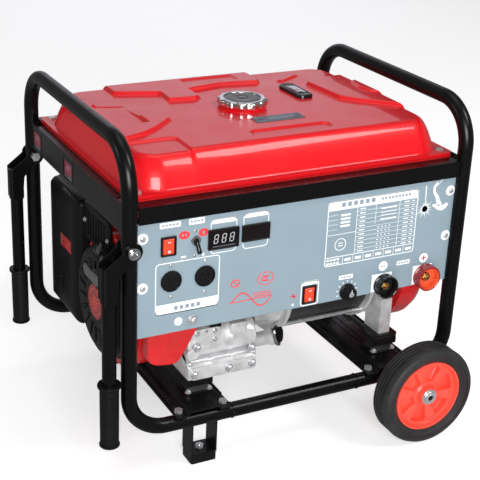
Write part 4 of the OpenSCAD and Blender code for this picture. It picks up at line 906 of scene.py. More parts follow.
def rocker_face(name):
    """A rocker's cap: a two-slope top with soft edges, dipped across its middle."""
    low, high = node_box(name)
    w, h = (high - low)[0], (high - low)[2]
    out = -low[1]
    u, v = np.meshgrid(np.linspace(-1, 1, 25), np.linspace(-1, 1, 41), indexing="ij")
    round_off = (1 - np.abs(u) ** 8) ** 0.35 * (1 - np.abs(v) ** 10) ** 0.35
    rise = out - 2.6 + 2.4 * (v * v) * round_off - (1 - round_off) * 4.5
    top = np.stack([u * w / 2, v * h / 2, rise], axis=2)
    rim = np.concatenate([top[:, 0], top[-1, 1:], top[-2::-1, -1], top[0, -2:0:-1]])
    foot = rim * (1, 1, 0) + (0, 0, 0.6)
    sides = np.stack([rim, foot, 0 * foot + foot.mean(0)])
    return together(surface(top), surface(sides, close_columns=True))


def rocker_bezels():
    """Frames with rounded lips round both rockers, and the wells behind them."""
    parts = []
    for name in ("engine_rocker", "idle_rocker"):
        low, high = node_box(name)
        x, _, z = node_middle(name)
        w, h = (high - low)[0], (high - low)[2]
        parts.append(on_front(hollow(w + 7, h + 7, 2.0, 3.4, 3.1, 0.8), x, z))
        parts.append(on_front(slab(w + 5, h + 5, 0.4, 1.5, 0.1), x, z))
    piece("rocker_bezels", together(*parts), F["black"], "frame", ["switch_bodies"])


def rockers():
    """Both rockers in their bezels, each with a bar and a ring printed on its two slopes."""
    rocker_bezels()
    for name in ("engine_rocker", "idle_rocker"):
        x, _, z = node_middle(name)
        low, high = node_box(name)
        # The caps' red plastic finish glows a little: painted glow.
        piece(name + "_cap", on_front(rocker_face(name), x, z), F["red_plastic"], name, [name])
        out = -low[1] - 0.15
        h = (high - low)[2]
        bar = moved(slab(6, 1.2, 0.3, 0.3, 0.05, 3), (0, h * 0.30, out - 0.9))
        ring = turned([(1.5, 0), (2.4, 0), (2.4, 0.3), (1.5, 0.3)], 20)
        marks = together(bar, moved(ring, (0, -h * 0.30, out - 0.9)))
        piece(name + "_marks", on_front(marks, x, z), F["print_white"], name)


SEGMENTS = ((0, 1, 0), (0, -1, 0), (0, 0, 0), (-1, 0.5, 1), (1, 0.5, 1), (-1, -0.5, 1), (1, -0.5, 1))


def meter_faces():
    """Dark glass in both meters, and three slanted seven-segment figures in the first."""
    meters = ((172, 467, 58, 37), (234, 469, 54, 31))
    low = node_box("meters")[0]
    bezels, glass = [], []
    for x, z, w, h in meters:
        bezels.append(on_front(hollow(w, h, 1.6, -low[1] + 0.4, 2.4, 0.5), x, z))
        glass.append(on_front(slab(w - 4, h - 4, -low[1] - 0.1, 0.8, 0.2), x, z))
    piece("meter_bezels", together(*bezels), F["black"], "frame", ["meters"])
    piece("meter_glass", together(*glass), F["meter_glass"], "frame")
    x, z = meters[0][:2]
    figures = []
    for k in range(3):
        for sx, sy, upright in SEGMENTS:
            length = 6.6 if upright else 5.4
            bar = turn_about(slab(length, 1.35, 0.2, 0.5, 0.05, 3), 90 if upright else 0)
            bar = moved(bar, (sx * 3.4, sy * 7.6, 0))
            bar = moved(bar, y=(0.14, 1, 0))
            figures.append(on_front(moved(bar, (15 * (k - 1), 1.5, -low[1] - 0.05)), x, z))
    # The figures' pale finish glows: painted glow.
    piece("meter_figures", together(*figures), F["digits"], "frame")
    strip = on_front(moved(slab(44, 2.6, 0.15, 0.5, 0.03, 3), (0, -12.6, -low[1] - 0.05)), x, z)
    piece("meter_strip", strip, F["vent"], "frame")


def outlets():
    """Outlet faces: a domed rim, a sunk disc, three slots and a pair of screws each."""
    rims, holes, screws = [], [], []
    for x, z in ((76, 403), (139, 402)):
        rim = [(0, 0), (19.4, 0), (19.4, 2.2), (18.6, 3.3), (17.2, 3.7), (16.2, 3.3), (15.7, 2.2), (0, 2.2)]
        rims.append(on_front(turned(rim, 56), x, z))
        for dx, dy, w, h in ((-5.5, 3.5, 2.2, 7), (5.5, 3.5, 2.2, 7), (0, -6.5, 4.6, 4.6)):
            holes.append(on_front(moved(hollow(w + 1.4, h + 1.4, 1.2, 0.7, 0.7, 0.2), (dx, dy, 2.1)), x, z))
            holes.append(on_front(moved(slab(w, h, 0.3, 0.6, 0.1, 3), (dx, dy, 2.05)), x, z))
        for dy in (-29, 29):
            screws.append(on_front(pan_screw(4.0, 2.4), x, z + dy))
    piece("outlet_faces", together(*rims), F["gloss_black"], "frame", ["ac_sockets"])
    piece("outlet_slots", together(*holes), F["black"], "frame")
    piece("outlet_screws", together(*screws), F["zinc"], "frame")


def terminal_studs():
    """Brass washers, nuts and studs in both terminals, and the zinc earth bolt."""
    washer = turned([(0, 0.5), (9.6, 0.5), (9.6, 2.0), (0, 2.0)], 36)
    nut = turned([(3.2, 1.8), (8.9, 1.8), (8.9, 8.4), (7.6, 9.6), (4.6, 9.6), (3.8, 8.8), (3.6, 5.0),
                  (0, 4.6), (0, 2)], 6)
    stud = turned([(0, 2), (4.6, 2), (4.6, 10.6), (3.8, 11.6), (2.6, 11.6), (2.2, 7), (0, 7)], 24)
    studs = [on_front(together(washer, nut, stud), x, z) for x, z in (BLACK_TERMINAL, RED_TERMINAL)]
    piece("terminal_brass_nuts", together(*studs), F["brass"], "frame", ["brass_studs"])
    washer = turned([(0, 0), (9.5, 0), (9.5, 1.2), (9, 1.6), (0, 1.6)], 32)
    nut = turned([(0, 1.5), (7.2, 1.5), (7.2, 6.2), (6.4, 7), (0, 7)], 6)
    bolt = turned([(0, 6.8), (3.9, 6.8), (3.9, 12.4), (3.3, 13.2), (0, 13.2)], 20)
    piece("earth_terminal_nut", on_front(together(washer, nut, bolt), *EARTH_BOLT), F["zinc"], "frame")


def pan_screw(r, h):
    """A pan head with a cross recess, as a dome whose height dips along two crossed slots."""
    t, a = np.meshgrid(np.linspace(0, 1, 13), np.linspace(0, 2 * math.pi, 48, endpoint=False), indexing="ij")
    radius = r * t
    x, y = radius * np.cos(a), radius * np.sin(a)
    slots = np.minimum(np.abs(x), np.abs(y))
    dip = np.where((slots < 0.16 * r) & (radius < 0.62 * r), 0.38 * h, 0)
    rise = h * (1 - t ** 3.2) ** 0.5 - dip
    top = np.stack([x, y, rise], axis=2)
    foot = np.stack([top[-1] * (1, 1, 0), 0 * top[-1]])
    return together(surface(top, close_columns=True), surface(foot, close_columns=True))


def panel_fixings():
    """Cup washers and cross-head screws along both ends of the panel."""
    cups, heads = [], []
    cup = turned([(0, -0.05), (10, -0.05), (10, 0.5), (7.5, 1.8), (5.5, 2.2), (0, 2.2)], 36)
    for x in (23.6, 642.4):
        for z in (488, 398):
            cups.append(on_front(cup, x, z))
            heads.append(on_front(moved(pan_screw(5.2, 2.4), (0, 0, 2.0)), x, z))
    piece("panel_cup_washers", together(*cups), F["print_white"], "frame")
    piece("panel_screw_heads", together(*heads), F["zinc"], "frame", ["panel_screws"])


def selector():
    """The selector: a plate ring with its key slot, two small screws and a tapered toggle."""
    x, z = 120.0, 471.0
    ring = turned([(3.6, 0), (9.2, 0), (9.2, 2.6), (8.4, 3.8), (6.6, 4.2), (4.6, 3.6), (3.6, 2.0)], 48)
    screws = [on_front(pan_screw(3.2, 1.9), x - 1, z + dz) for dz in (-27.5, 16.5)]
    piece("selector_ring", together(on_front(ring, x, z), *screws), F["chrome"], "frame")
    hub = turned([(0, 1), (4.4, 1), (4.4, 5.4), (3.4, 6.6), (0, 6.8)], 32)
    run = np.linspace(0, 1, 9)[:, None] * (3.4, -20.0, 6.0) + (0.3, -1.0, 5.0)
    handle = swept(run, (3.4, 3.5, 3.6, 3.7, 3.8, 4.0, 4.2, 4.2, 3.4), 16)
    piece("selector_toggle", on_front(together(hub, handle), x, z), F["gloss_black"], "selector_lever",
          ["selector_lever"])


def current_dial():
    """The current knob: a skirt, fluted sides whose radius swings, and a white pointer on its face."""
    low, high = node_box("current_knob")
    x, _, z = (low + high) / 2
    r, out = (high - low)[0] / 2, -low[1]
    profile = np.array([(0, 0.6, 0), (r, 0.6, 0), (r, 2.6, 0), (r - 2.4, 4.0, 0.3), (r - 3.2, 6, 1),
                        (r - 4.0, out - 2.2, 1), (r - 5.2, out - 0.5, 0.4), (r - 7, out, 0),
                        (0, out - 0.5, 0)])
    angle = all_round(144)
    grid = carried_round(profile[:, 0] + 0.8 * profile[:, 2] * np.cos(18 * angle), profile[:, 1], angle)
    grid = np.concatenate([grid, 0 * grid[:, :1] + (0, 0, 0.6)], axis=1)
    piece("current_knob_cap", on_front(surface(grid, True, False), x, z), F["black"], "current_knob",
          ["current_knob"])
    bar = moved(slab(2.2, r - 6, 0.5, 0.7, 0.1, 3), (0, (r - 6) / 2, out - 0.6))
    disc = turned([(0, 0), (5.2, 0), (5.2, 0.5), (4.6, 0.8), (0, 0.8)], 32)
    piece("current_knob_pointer", on_front(bar, x, z), F["print_white"], "current_knob")
    piece("current_knob_inlay", on_front(moved(disc, (0, 0, out - 0.6)), x, z), F["zinc"],
          "current_knob")


def terminal(name, x, z, r, outside, inside, slot_name):
    """A welding terminal: a moulded cup with a ribbed collar and a sloped inner wall round the stud."""
    out = -node_box(name)[0][1]
    profile = [(r - 9, 0.2), (r, 0.2), (r, 3.2), (r - 1.2, 4.2), (r - 1.6, out - 4.4), (r - 0.2, out - 3.4),
               (r, out - 1.2), (r - 0.8, out - 0.1), (r - 2.6, out), (r - 3.6, out - 0.8), (r - 4.6, 5.5),
               (9.2, 4.4), (8.6, 1.2), (r - 9, 1.2)]
    piece(name + "_cup", on_front(turned(profile, 72), x, z), outside, "frame", [name], 38)
    lining = [(8.8, 4.2), (9.4, 4.8), (r - 5.2, 5.9), (r - 4.1, out - 1.3), (r - 3.4, out - 0.5),
              (r - 3.9, out - 1.8), (r - 5.0, 5.2), (9.4, 4.0)]
    piece(name + "_lining", on_front(turned(lining, 72), x, z), inside, "frame", (), 38)


def controls():
    """Everything on the front panel."""
    panel_prints()
    rockers()
    meter_faces()
    outlets()
    terminal_studs()
    panel_fixings()
    selector()
    current_dial()
    terminal("black_terminal", *BLACK_TERMINAL, 22, F["gloss_black"], F["gloss_black"], "black_plastic")
    terminal("red_terminal", *RED_TERMINAL, 25, F["dark_red"], F["orange_red"], "dark_red_plastic")


controls()


# ---- Wheels ----

TREAD_GROOVES = (8.5, 16.0, 23.5, 31.0)
HUB_BORE = 8.1
AXLE_R = 7.95


def tyre_profile(r, bead, width):
    """The tyre's section: bead, stepped side walls with a raised lip, and four tread grooves inboard."""
    side = [(bead, 7), (bead + 4, 4), (r - 15, 1.4), (r - 13, 0.2), (r - 11, 0), (r - 8, 0.8), (r - 3.5, 3),
            (r - 1.2, 6)]
    groove = ((0.4, -2.6), (0.7, -2.1), (4.8, -1.3), (5.0, 0), (4.8, 1.3), (0.7, 2.1))
    tread = [(r - deep, z + along) for z in TREAD_GROOVES for deep, along in groove]
    wall = ((0.1, 19.5), (0, 15), (0.8, 10.5), (3.2, 5.6), (8.5, 2.6), (11.5, 1.8), (12.3, 0.3),
            (13.2, 0), (14.2, 0.4), (14.8, 3.4), (19, 5.2), (20, 6.8))
    shoulder = [(r - deep, width - inboard) for deep, inboard in wall]
    seat = [(bead + 4, width - 8.4), (bead + 1.2, width - 9.6), (bead, width - 13)]
    return side + tread + shoulder + seat


def hub_rows(r, bore, width):
    """Hub section from the bore outwards: (radius, height, how much a pocket may sink it)."""
    front = [(bore, width - 8, 0), (15, width - 8, 0), (17, width - 8.6, 0), (18.6, width - 12, 0),
             (20, width - 17, 0), (23, width - 19.5, 0)]
    front += [(x, width - 20.5 + 2.5 * ((x - 24) / 36.0) ** 2, 1) for x in np.linspace(25, 61, 28)]
    front += [(63.5, width - 17.2, 0), (65.6, width - 14.2, 0), (66.8, width - 10.6, 0),
              (67.6, width - 9.0, 0),
              (69.4, width - 8.2, 0), (71.2, width - 8.6, 0), (r, width - 10.5, 0)]
    back = [(r, 8.5, 0), (70.5, 7.6, 0), (67, 8.0, 0), (65, 12, 0), (60, 20, 0), (26, 19, 0),
            (20, 9, 0), (bore, 8, 0)]
    return np.array(front + back)


def dished_hub(r, bore, width):
    """The hub: its section carried round, with six wedge pockets sunk between broad spokes.

    A pocket sinks by 6.5 to 11.5 mm where the angle is within 17.5 degrees of its middle line and
    the radius is between 28 and 58 mm, with smooth walls, deepest near its outer end.
    """
    rows = hub_rows(r, bore, width)
    angle = all_round(288)
    off = np.abs((np.degrees(angle) + 12) % 60 - 30)
    wedge = step(17.5 - off, -1.2, 1.2)
    reach = step(rows[:, 0], 26.5, 29.5) * step(59.5 - rows[:, 0], 0, 3)
    sink = (6.5 + 5.0 * (rows[:, 0] - 28) / 30.0) * reach * rows[:, 2] * wedge
    swell = 1.2 * rows[:, 2] * (1 - wedge) * np.cos(np.clip(off - 30, -14, 14) / 14 * math.pi / 2)
    return surface(carried_round(rows[:, 0], rows[:, 1] - sink + swell * reach, angle), True, True)


def wheels():
    """Both wheels; the back one is the front one turned to face the back."""
    for side in ("front", "back"):
        low, high = node_box(side + "_tyre")
        x, _, z = (low + high) / 2
        r, width = (high - low)[0] / 2, (high - low)[1]
        bead = node_size(side + "_hub")[0] / 2 + 0.1
        tyre = turned(tyre_profile(r, bead, width), 160)
        hub = dished_hub(bead - 0.1, HUB_BORE, width)
        if side == "front":
            tyre, hub = on_front(tyre, x, z, high[1]), on_front(hub, x, z, high[1])
        else:
            tyre, hub = to_back(tyre, x, low[1], z), to_back(hub, x, low[1], z)
        piece(side + "_tyre_tread", tyre, F["tyre"], side + "_wheel", [side + "_tyre"], 28)
        piece(side + "_hub_dish", hub, F["hub"], side + "_wheel", [side + "_hub"], 30)
    axle_bar()


def axle_bar():
    """The axle: a chamfered bar from wheel to wheel with washers and end collars, and a black plug in each
    end bore as painted shade.
    """
    low, high = node_box("axle")
    x, _, z = node_middle("front_hub")
    r = AXLE_R
    y0, y1 = low[1] - 0.4, high[1] + 0.4
    long = y1 - y0
    bar = turned([(5.6, 0), (r - 1, 0), (r, 1.2), (r, long - 1.2), (r - 1, long), (5.6, long),
                  (5.4, long - 4), (0, long - 4), (0, 4), (5.4, 4)], 48)
    collar = turned([(r - 0.2, -6.0), (16, -6.0), (16, -4.4), (13.2, -4.2), (13.2, -1.4), (12.2, -0.4),
                     (r - 0.2, -0.4)], 48)
    parts = [on_front(bar, x, z, y1), on_front(collar, x, z, y0), to_back(collar, x, y1, z)]
    washer = turned([(r - 0.2, -1), (15, -1), (15, 1), (r - 0.2, 1)], 40)
    for y in (node_box("front_hub")[1][1] + 1.4, node_box("back_hub")[0][1] - 1.4):
        parts.append(on_front(washer, x, z, y))
    piece("wheel_axle", together(*parts), F["zinc"], "frame", ["axle"])
    # A black plug sunk in each end bore: painted shade for the inside of the hole.
    plug = turned([(0, -4.2), (5.5, -4.2), (5.5, -1.2), (5.0, -0.9), (0, -1.6)], 32)
    piece("axle_bore_painted_shade", together(on_front(plug, x, z, y0), to_back(plug, x, y1, z)), F["box"],
          "frame")


# ---- Frame fittings ----

SEAM_X = 200
PIVOT_Z = 474.2


def hex_bolt(r, h, washer=1.5):
    """A flanged hexagon head: washer, six flats with a chamfered crown, and a shallow dish on top."""
    flange = turned([(0, 0), (r * 1.45, 0), (r * 1.45, washer * 0.7), (r * 1.3, washer), (0, washer)], 32)
    head = turned([(0, washer * 0.9), (r, washer * 0.9), (r, washer + h * 0.8), (r * 0.82, washer + h),
                   (r * 0.5, washer + h), (r * 0.42, washer + h * 0.86), (0, washer + h * 0.86)], 6)
    return together(flange, head)


def weld_beads():
    """Rippled beads where the hoops meet the rails."""
    parts = []
    z = node_middle("frame_rails")[2]
    a = all_round(96)[:, 0]
    for x in (SEAM_X, FRAME_L - SEAM_X):
        for y in (0, FRAME_W):
            ripple = TUBE_R + 0.25 + 0.22 * np.sin(36 * a)
            ring = np.stack([x + 0.5 * np.sin(18 * a), y + ripple * np.cos(a), z + ripple * np.sin(a)], 1)
            parts.append(swept(ring, 1.1, 8, (1, 0, 0), closed=True))
    piece("rail_weld_beads", together(*parts), F["frame"], "frame")


def pivot_caps():
    """Dished chrome heads and washers on the handles' pivot bolts."""
    washer = turned([(0, 0), (10.5, 0), (10.5, 1.0), (9.6, 1.6), (0, 1.6)], 40)
    head = together(washer, hex_bolt(7.0, 4.6, 1.4))
    out = TUBE_R + 9.1
    both = together(on_front(head, 0, PIVOT_Z, -out), to_back(head, 0, FRAME_W + out, PIVOT_Z))
    piece("handle_pivot_heads", both, F["chrome"], "frame")


def grip_ribs():
    """Rubber grips with a ring at the top, fine ribs and a rounded foot."""
    for side, body in (("front_grip", "front_carry_handle"), ("back_grip", "back_carry_handle")):
        low, high = node_box(side)
        middle = (low + high) / 2
        r, h = (high - low)[0] / 2, (high - low)[2]
        z = np.linspace(0, 1, 120)
        barrel = 16.4 + 0.28 * np.cos(z * 2 * math.pi * 30) + 0.5 * z
        barrel = np.where(z > 0.955, r - 0.5 * np.abs(z - 0.977) / 0.022, barrel)
        barrel = np.where(z < 0.05, 18.2 - 3.6 * (1 - np.clip(z / 0.022, 0, 1)) ** 2, barrel)
        profile = [(12.9, 0)] + [(a, b * h) for a, b in zip(barrel, z)] + [(12.9, h), (12.9, 2.0)]
        part = moved(turned(profile, 64), (middle[0], middle[1], low[2]))
        piece(side + "_sleeve", part, F["grip"], body, [side], 34)


def side_bar_tags():
    """Dark tags on the left side bar, each with a red field and a zigzag mark."""
    plates, fields, marks = [], [], []
    x = node_box("tank_rails")[0][0]
    zigzag = moved(stroke([(-9, -3), (-1, 7), (2, -2), (9, 8)], 1.6, 0.2), (0, 1, 0.6))
    for y in (459, 280):
        plates.append(on_left(slab(50, 36, 0.5, 1.5, 0.15), x, y, 519))
        fields.append(on_left(moved(slab(38, 25, 0.2, 1, 0.05), (0, 1, 0.45)), x, y, 519))
        marks.append(on_left(zigzag, x, y, 519))
        marks.append(on_left(moved(slab(36, 1.2, 0.2, 0.4, 0.05), (0, -15, 0.45)), x, y, 519))
    piece("side_bar_tags", together(*plates), F["gloss_black"], "frame")
    piece("side_bar_tag_fields", together(*fields), F["tag_red"], "frame")
    piece("side_bar_tag_print", together(*marks), F["print_grey"], "frame")


# ---- Left end ----

CRANK_Y = 172.0
CRANK_Z = 299.0


def recoil_dress():
    """The recoil cover's grey louvre rib, its round label and the ring of cooling louvres."""
    low, high = node_box("recoil_cover")
    x = low[0]
    y, z = CRANK_Y, CRANK_Z
    rib = curve([(-221, 372), (-223, 350), (-204, 340), (-184, 343), (-168, 360), (-153, 379),
                 (-138, 402)], 40)
    ribs = [on_left(stroke(rib, 13 - 5 * np.linspace(0, 1, 40), 3.4), x + 3.5, 0, 0)]
    for v, w in ((-196, 372), (-180, 384), (-166, 396)):
        louvre = stroke([(v, w), (v + 8, w + 14), (v + 14, w + 26)], 5, 3.0)
        ribs.append(on_left(louvre, x + 5.5, 0, 0))
    blade = moved(slab(28, 5.5, 2.4, 2.2, 0.8, 4), (66, 0, -0.4))
    blades = [on_left(turn_about(blade, 20 * k + 10), x, y, z) for k in range(18)]
    piece("recoil_louvres", together(*ribs), F["vent"], "frame")
    piece("recoil_blades", together(*blades), F["black"], "frame")
    badge = turned([(0, -0.2), (33, -0.2), (33.4, 0.6), (32.4, 1.5), (30.6, 1.5), (30.2, 1.1), (0, 1.1)], 72)
    piece("recoil_badge", on_left(badge, x, y, z), F["dark_red"], "frame")
    marks = [turned([(24, 1.0), (25.4, 1.0), (25.4, 1.3), (24, 1.3)], 72)]
    marks += [moved(slab(w, 3.4, 0.3, 1, 0.08, 3), (0, v, 1.0))
              for v, w in ((9, 22), (2, 32), (-5, 28), (-12, 18))]
    # The badge print's red plastic finish glows a little: painted glow.
    piece("recoil_badge_print", on_left(together(*marks), x, y, z), F["red_plastic"], "frame")
    bolts = [on_left(hex_bolt(4.2, 3.2), high[0] - 4.3, y + 108.5 * math.cos(a), z + 108.5 * math.sin(a))
             for a in np.radians((35, 125, 215, 305))]
    piece("recoil_bolts", together(*bolts), F["zinc"], "frame")


def pull_grip():
    """The starter's T-grip: a soft bar whose section swells at both ends, on a tapered boot."""
    low, high = node_box("starter_grip")
    y, z = (low + high)[1] / 2, (low + high)[2] / 2
    run = np.linspace(-1, 1, 41)
    path = np.stack([low[0] + 4.6 - 1.2 * (1 - run ** 2), y + 37.5 * run, z + 0 * run], 1)
    half = np.sqrt(np.clip(1 - np.abs(run) ** 6, 0, 1))
    bar, faces = swept(path, 1, 24, (0, 0, 1))
    centre = np.repeat(np.vstack([path[:1], path, path[-1:]]), 24, 0)
    size = np.repeat(np.concatenate([[0.02], half * (1 - 0.12 * np.cos(math.pi * run)), [0.02]]), 24)[:, None]
    swollen = centre + (bar - centre) * size * (3.4, 3.4, 11.5)
    boot = turned([(0, 0), (8.5, 0), (10.5, 1.5), (10, 4), (7.5, 9), (6.4, 12.8), (5, 13.2), (0, 13.2)], 36)
    boot = along_x(boot, low[0] + 7, y, z)
    piece("starter_pull_bar", together((swollen, faces), boot), F["pull_grey"], "starter_grip",
          ["starter_grip"], 40)


def filter_box():
    """The air filter: a ribbed cover with a rolled lid edge, snap clips, a wing nut and a red label."""
    low, high = node_box("air_filter")
    w, h = (high - low)[1], (high - low)[2]
    y, z = (low + high)[1] / 2, (low + high)[2] / 2
    base_x, lid_x = low[0] + 28, low[0] + 6
    depth = high[0] - base_x
    base = moulded(w, h, 12, [(0, 0), (0, 3), (1.5, 4.5), (3, 5), (3, depth - 6), (6, depth - 1), (9, depth)])
    rim = moulded(w, h, 12, [(1, 0), (0, 0.8), (0, 5), (1, 6)])
    lid = moulded(w - 2, h - 2, 12, [(0, 0), (0, 6), (1.2, 9), (5, 14), (9, 17.5), (14, 19.5),
                                     (24, 21.6), (40, 22)])
    parts = [along_x(base, base_x, y, z), on_left(rim, base_x, y, z), on_left(lid, base_x - 5.5, y, z)]
    for k in range(7):
        ridge = slab(w - 52, 3.2, 2.2, 1.4, 0.9, 4)
        parts.append(on_left(moved(ridge, (0, -h / 2 + 26 + 9 * k, 0)), lid_x + 1.6, y, z))
    parts.append(on_left(moved(slab(w - 44, 96, 1.2, 8, 0.8), (0, 42, 0)), lid_x + 1.0, y, z))
    for dz in (-70, 60):
        for side in (-1, 1):
            clip = slab(4, 26, 14, 1.2, 0.8)
            parts.append(on_left(moved(clip, (side * (w / 2 + 0.2), dz, -9)), base_x - 4, y, z))
    knob = together(turned([(0, 0), (11, 0), (11, 1.5), (8, 3), (0, 3)], 36), slab(6, 28, 9, 2.8, 1.4))
    parts.append(on_left(moved(knob, (0, -h / 2 + 66, 0)), lid_x, y, z))
    piece("air_filter_cover", together(*parts), F["black"], "frame", ["air_filter"], 34)
    tag_x = low[0] + 0.7
    tag = on_left(slab(60, 27, 0.6, 2, 0.2), tag_x, 376, 331)
    piece("air_filter_label", tag, F["dark_red"], "frame")
    lines = [on_left(moved(slab(width, 1.8, 0.25, 0.5, 0.05, 3), (0, v, 0.5)), tag_x, 376, 331)
             for v, width in ((9, 50), (3, 44), (-3, 40), (-9, 50))]
    piece("air_filter_label_print", together(*lines), F["print_red"], "frame")


# ---- Engine ----

FILLER_AXIS = np.array([0.7602, -0.5523, 0.3420])
FILLER_TIP = np.array([303.0, 32.0, 238.0])
CASE_FOOT = 186
MEMBER_W = 110


def case_outline():
    """The crankcase's section in (y, z): foot flange, round front barrel, shoulder, housing, back."""
    front = [(24, 186), (22, 188), (22, 211), (23.5, 213.5), (29, 214.5), (31, 217)]
    barrel = arc(34, 238, 118, 26) + (61, 247)
    shoulder = [(58, 283), (66, 290), (70, 300)]
    crown = arc(103, 168, 12, 40) + (172, 299)
    back = [(276, 300), (276, 192), (272, 186)]
    return np.vstack([front, barrel, shoulder, crown, back])


def casting():
    """The crankcase: its section carried along the shaft, with raised end flanges and two bands."""
    outline = case_outline()
    middle = outline.mean(0)
    x0, x1 = 122.5, 261.5
    flange, band, plain = 1.0, 0.985, 0.972
    stations = [(x0, 0.965), (x0 + 1.5, flange), (x0 + 9, flange), (x0 + 11, plain)]
    for x in (x0 + 44, x0 + 88):
        stations += [(x, plain), (x + 1.5, band), (x + 6, band), (x + 7.5, plain)]
    stations += [(x1 - 11, plain), (x1 - 9, flange), (x1 - 1.5, flange), (x1, 0.965)]
    layers = []
    for x, scale in stations:
        ring = middle + (outline - middle) * scale
        ring[:, 1] = np.maximum(ring[:, 1], CASE_FOOT)
        layers.append(np.column_stack([np.full(len(ring), x), ring]))
    parts = [capped(layers)]
    parts.append(on_front(slab(126, 24, 6, 3, 1.2), 193, 199, 25))
    parts.append(on_front(slab(58, 32, 12, 6, 2.5), 158, 268, 38))
    parts.append(on_front(slab(34, 22, 16, 4, 2), 226, 271, 44))
    boss = turned([(0, 0), (13, 0), (13, 9), (11.5, 11), (8.5, 11.5), (8, 9), (0, 9)], 36)
    parts.append(on_front(boss, 132, 238, 32))
    axis, tip = FILLER_AXIS, FILLER_TIP
    neck = turned([(0, 0), (13, 0), (13.2, 40), (15.5, 46), (16.5, 50), (16.5, 56), (15, 57), (9.6, 57),
                   (9.6, 20), (0, 20)], 48)
    parts.append(facing(neck, tip - axis * 57.4, axis))
    elbow = curve([tip - axis * 44, tip - axis * 62 + (0, 3, -3), (236, 82, 214)], 16)
    parts.append(swept(elbow, np.linspace(14, 22, 16), 32))
    piece("crankcase_casting", together(*parts), F["cast"], "frame", ["crankcase"], 34)
    bolts = []
    for x, y, z in ((139, 22, 251), (203, 20, 199), (134, 20, 199), (250, 20, 199), (252, 27, 226)):
        bolts.append(on_front(hex_bolt(5.4, 4.4), x, z, y))
    for x, z in ((141, 276), (176, 276), (176, 260)):
        bolts.append(on_front(hex_bolt(3.6, 3.0), x, z, 26.5))
    stud = turned([(0, 8), (3.2, 8), (3.2, 16), (2.4, 17), (0, 17)], 20)
    bolts.append(on_front(together(hex_bolt(8, 7), stud), 158, 279, 40))
    piece("crankcase_bolts", together(*bolts), F["zinc"], "frame")
    sensor = together(on_front(slab(22, 18, 9, 2.5, 1.2), 178, 290, 36),
                      on_front(slab(12, 12, 14, 2, 1), 262, 268, 62))
    piece("oil_sensor_block", sensor, F["black"], "frame")


def oil_cap():
    """The dipstick's cap: a bright rim round a black disc, and a waisted wing across it."""
    rim = turned([(15, 0), (19.4, 0), (20, 1), (20, 4.2), (19, 5.4), (17.4, 5.6), (16.8, 4.6), (15, 4.2)], 56)
    disc = turned([(0, 0.4), (17, 0.4), (17, 4.4), (15.5, 5.4), (0, 6.4)], 48)
    run = np.linspace(-1, 1, 31)
    wide = 3.2 - 1.3 * np.cos(run * math.pi / 2) ** 2
    wing_low = np.stack([17.5 * run, -wide, 4.5 + 0 * run], 1)
    rise = 15.5 - 3.0 * np.abs(run) ** 3
    wing_high = np.stack([17.2 * run, 0.7 * wide, rise], 1)
    wing = capped(np.stack([wing_low, wing_low * (1, -1, 1), wing_high, wing_high * (1, -1, 1)], 1))
    piece("oil_cap_rim", facing(rim, FILLER_TIP, FILLER_AXIS), F["chrome"], "dipstick_cap")
    wings = together(disc, turn_about(wing, 20))
    piece("oil_cap_wing", facing(wings, FILLER_TIP, FILLER_AXIS), F["black"], "dipstick_cap",
          ["dipstick_cap"])


def mount_set():
    """The four rubber mounts: a waisted rubber block between two black plates, with two bolts."""
    blocks, plates, bolts = [], [], []
    low, high = node_box("rubber_mounts")
    tall = high[2] - low[2]
    waist = moulded(47, 43, 5, [(0, 0.6), (2.5, 3), (6, tall * 0.4), (6.4, tall * 0.6), (3.5, tall - 4.2),
                                (2, tall - 3.6)])
    lower = moulded(56, 46, 4, [(0.5, 0.05), (0, 0.5), (0, 3.0), (0.7, 3.5)])
    upper = moulded(54, 46, 4, [(0.5, tall - 3.8), (0, tall - 3.4), (0, tall - 0.6), (0.6, tall - 0.1)])
    for x in (low[0] + 24, high[0] - 24):
        for y in (low[1] + 22, high[1] - 22):
            here = (x, y, low[2])
            blocks.append(moved(waist, here))
            plates += [moved(lower, here), moved(upper, here)]
            plates.append(on_front(slab(50, 15, 2.6, 2, 0.6), x, low[2] + tall - 9, y - 21.4))
            for side in (21, -21):
                bolts.append(moved(hex_bolt(4.6, 4.0), (x + side, y - 16.5, low[2] + 3.4)))
    piece("rubber_blocks", together(*blocks), F["mount"], "frame", ["rubber_mounts"], 40)
    piece("mount_plates", together(*plates), F["bracket"], "frame")
    piece("mount_bolts", together(*bolts), F["zinc"], "frame")


def member_ridges():
    """Rolled edges and pressed slots along both cross members."""
    low, high = node_box("cross_members")
    ridges, slots = [], []
    run = np.linspace(24, FRAME_W - 24, 60)
    slot = moulded(9, 34, 4.4, [(0, 0), (0, 0.5), (1.6, 0.62), (2.2, 0.2)])
    for x0 in (low[0], high[0] - MEMBER_W):
        for across, radius in ((6, 2.6), (104, 2.6), (48, 1.5), (62, 1.5)):
            path = np.stack([x0 + across + 0 * run, run, high[2] - 0.7 + 0 * run], 1)
            ridges.append(swept(path, radius, 14, (0, 0, 1)))
        for y in (112, 196, 240, 328, 372, 430):
            for across in (27, 83):
                slots.append(moved(slot, (x0 + across, y, high[2] - 0.05)))
    piece("member_rolled_edges", together(*ridges), F["frame"], "frame")
    piece("member_slots", together(*slots), F["box"], "frame")


def shroud_front():
    """The blower shroud's front wall, which laps over the casting's left end with a slanted edge."""
    outline = curve([(44, 252), (50, 238), (64, 231), (90, 228), (101, 230), (109, 240), (118, 254),
                     (128, 272), (137, 288), (141, 302), (142, 320), (110, 324), (44, 324)], 90)
    middle = outline.mean(0)
    layers = []
    for inset, depth in ((0.0, 24), (0.0, 3.5), (0.012, 1.2), (0.04, 0.2), (0.08, 0)):
        ring = outline + (middle - outline) * inset
        layers.append(np.column_stack([ring[:, 0], np.full(len(ring), 22.0 + depth), ring[:, 1]]))
    piece("blower_front_wall", capped(layers), F["red"], "frame")


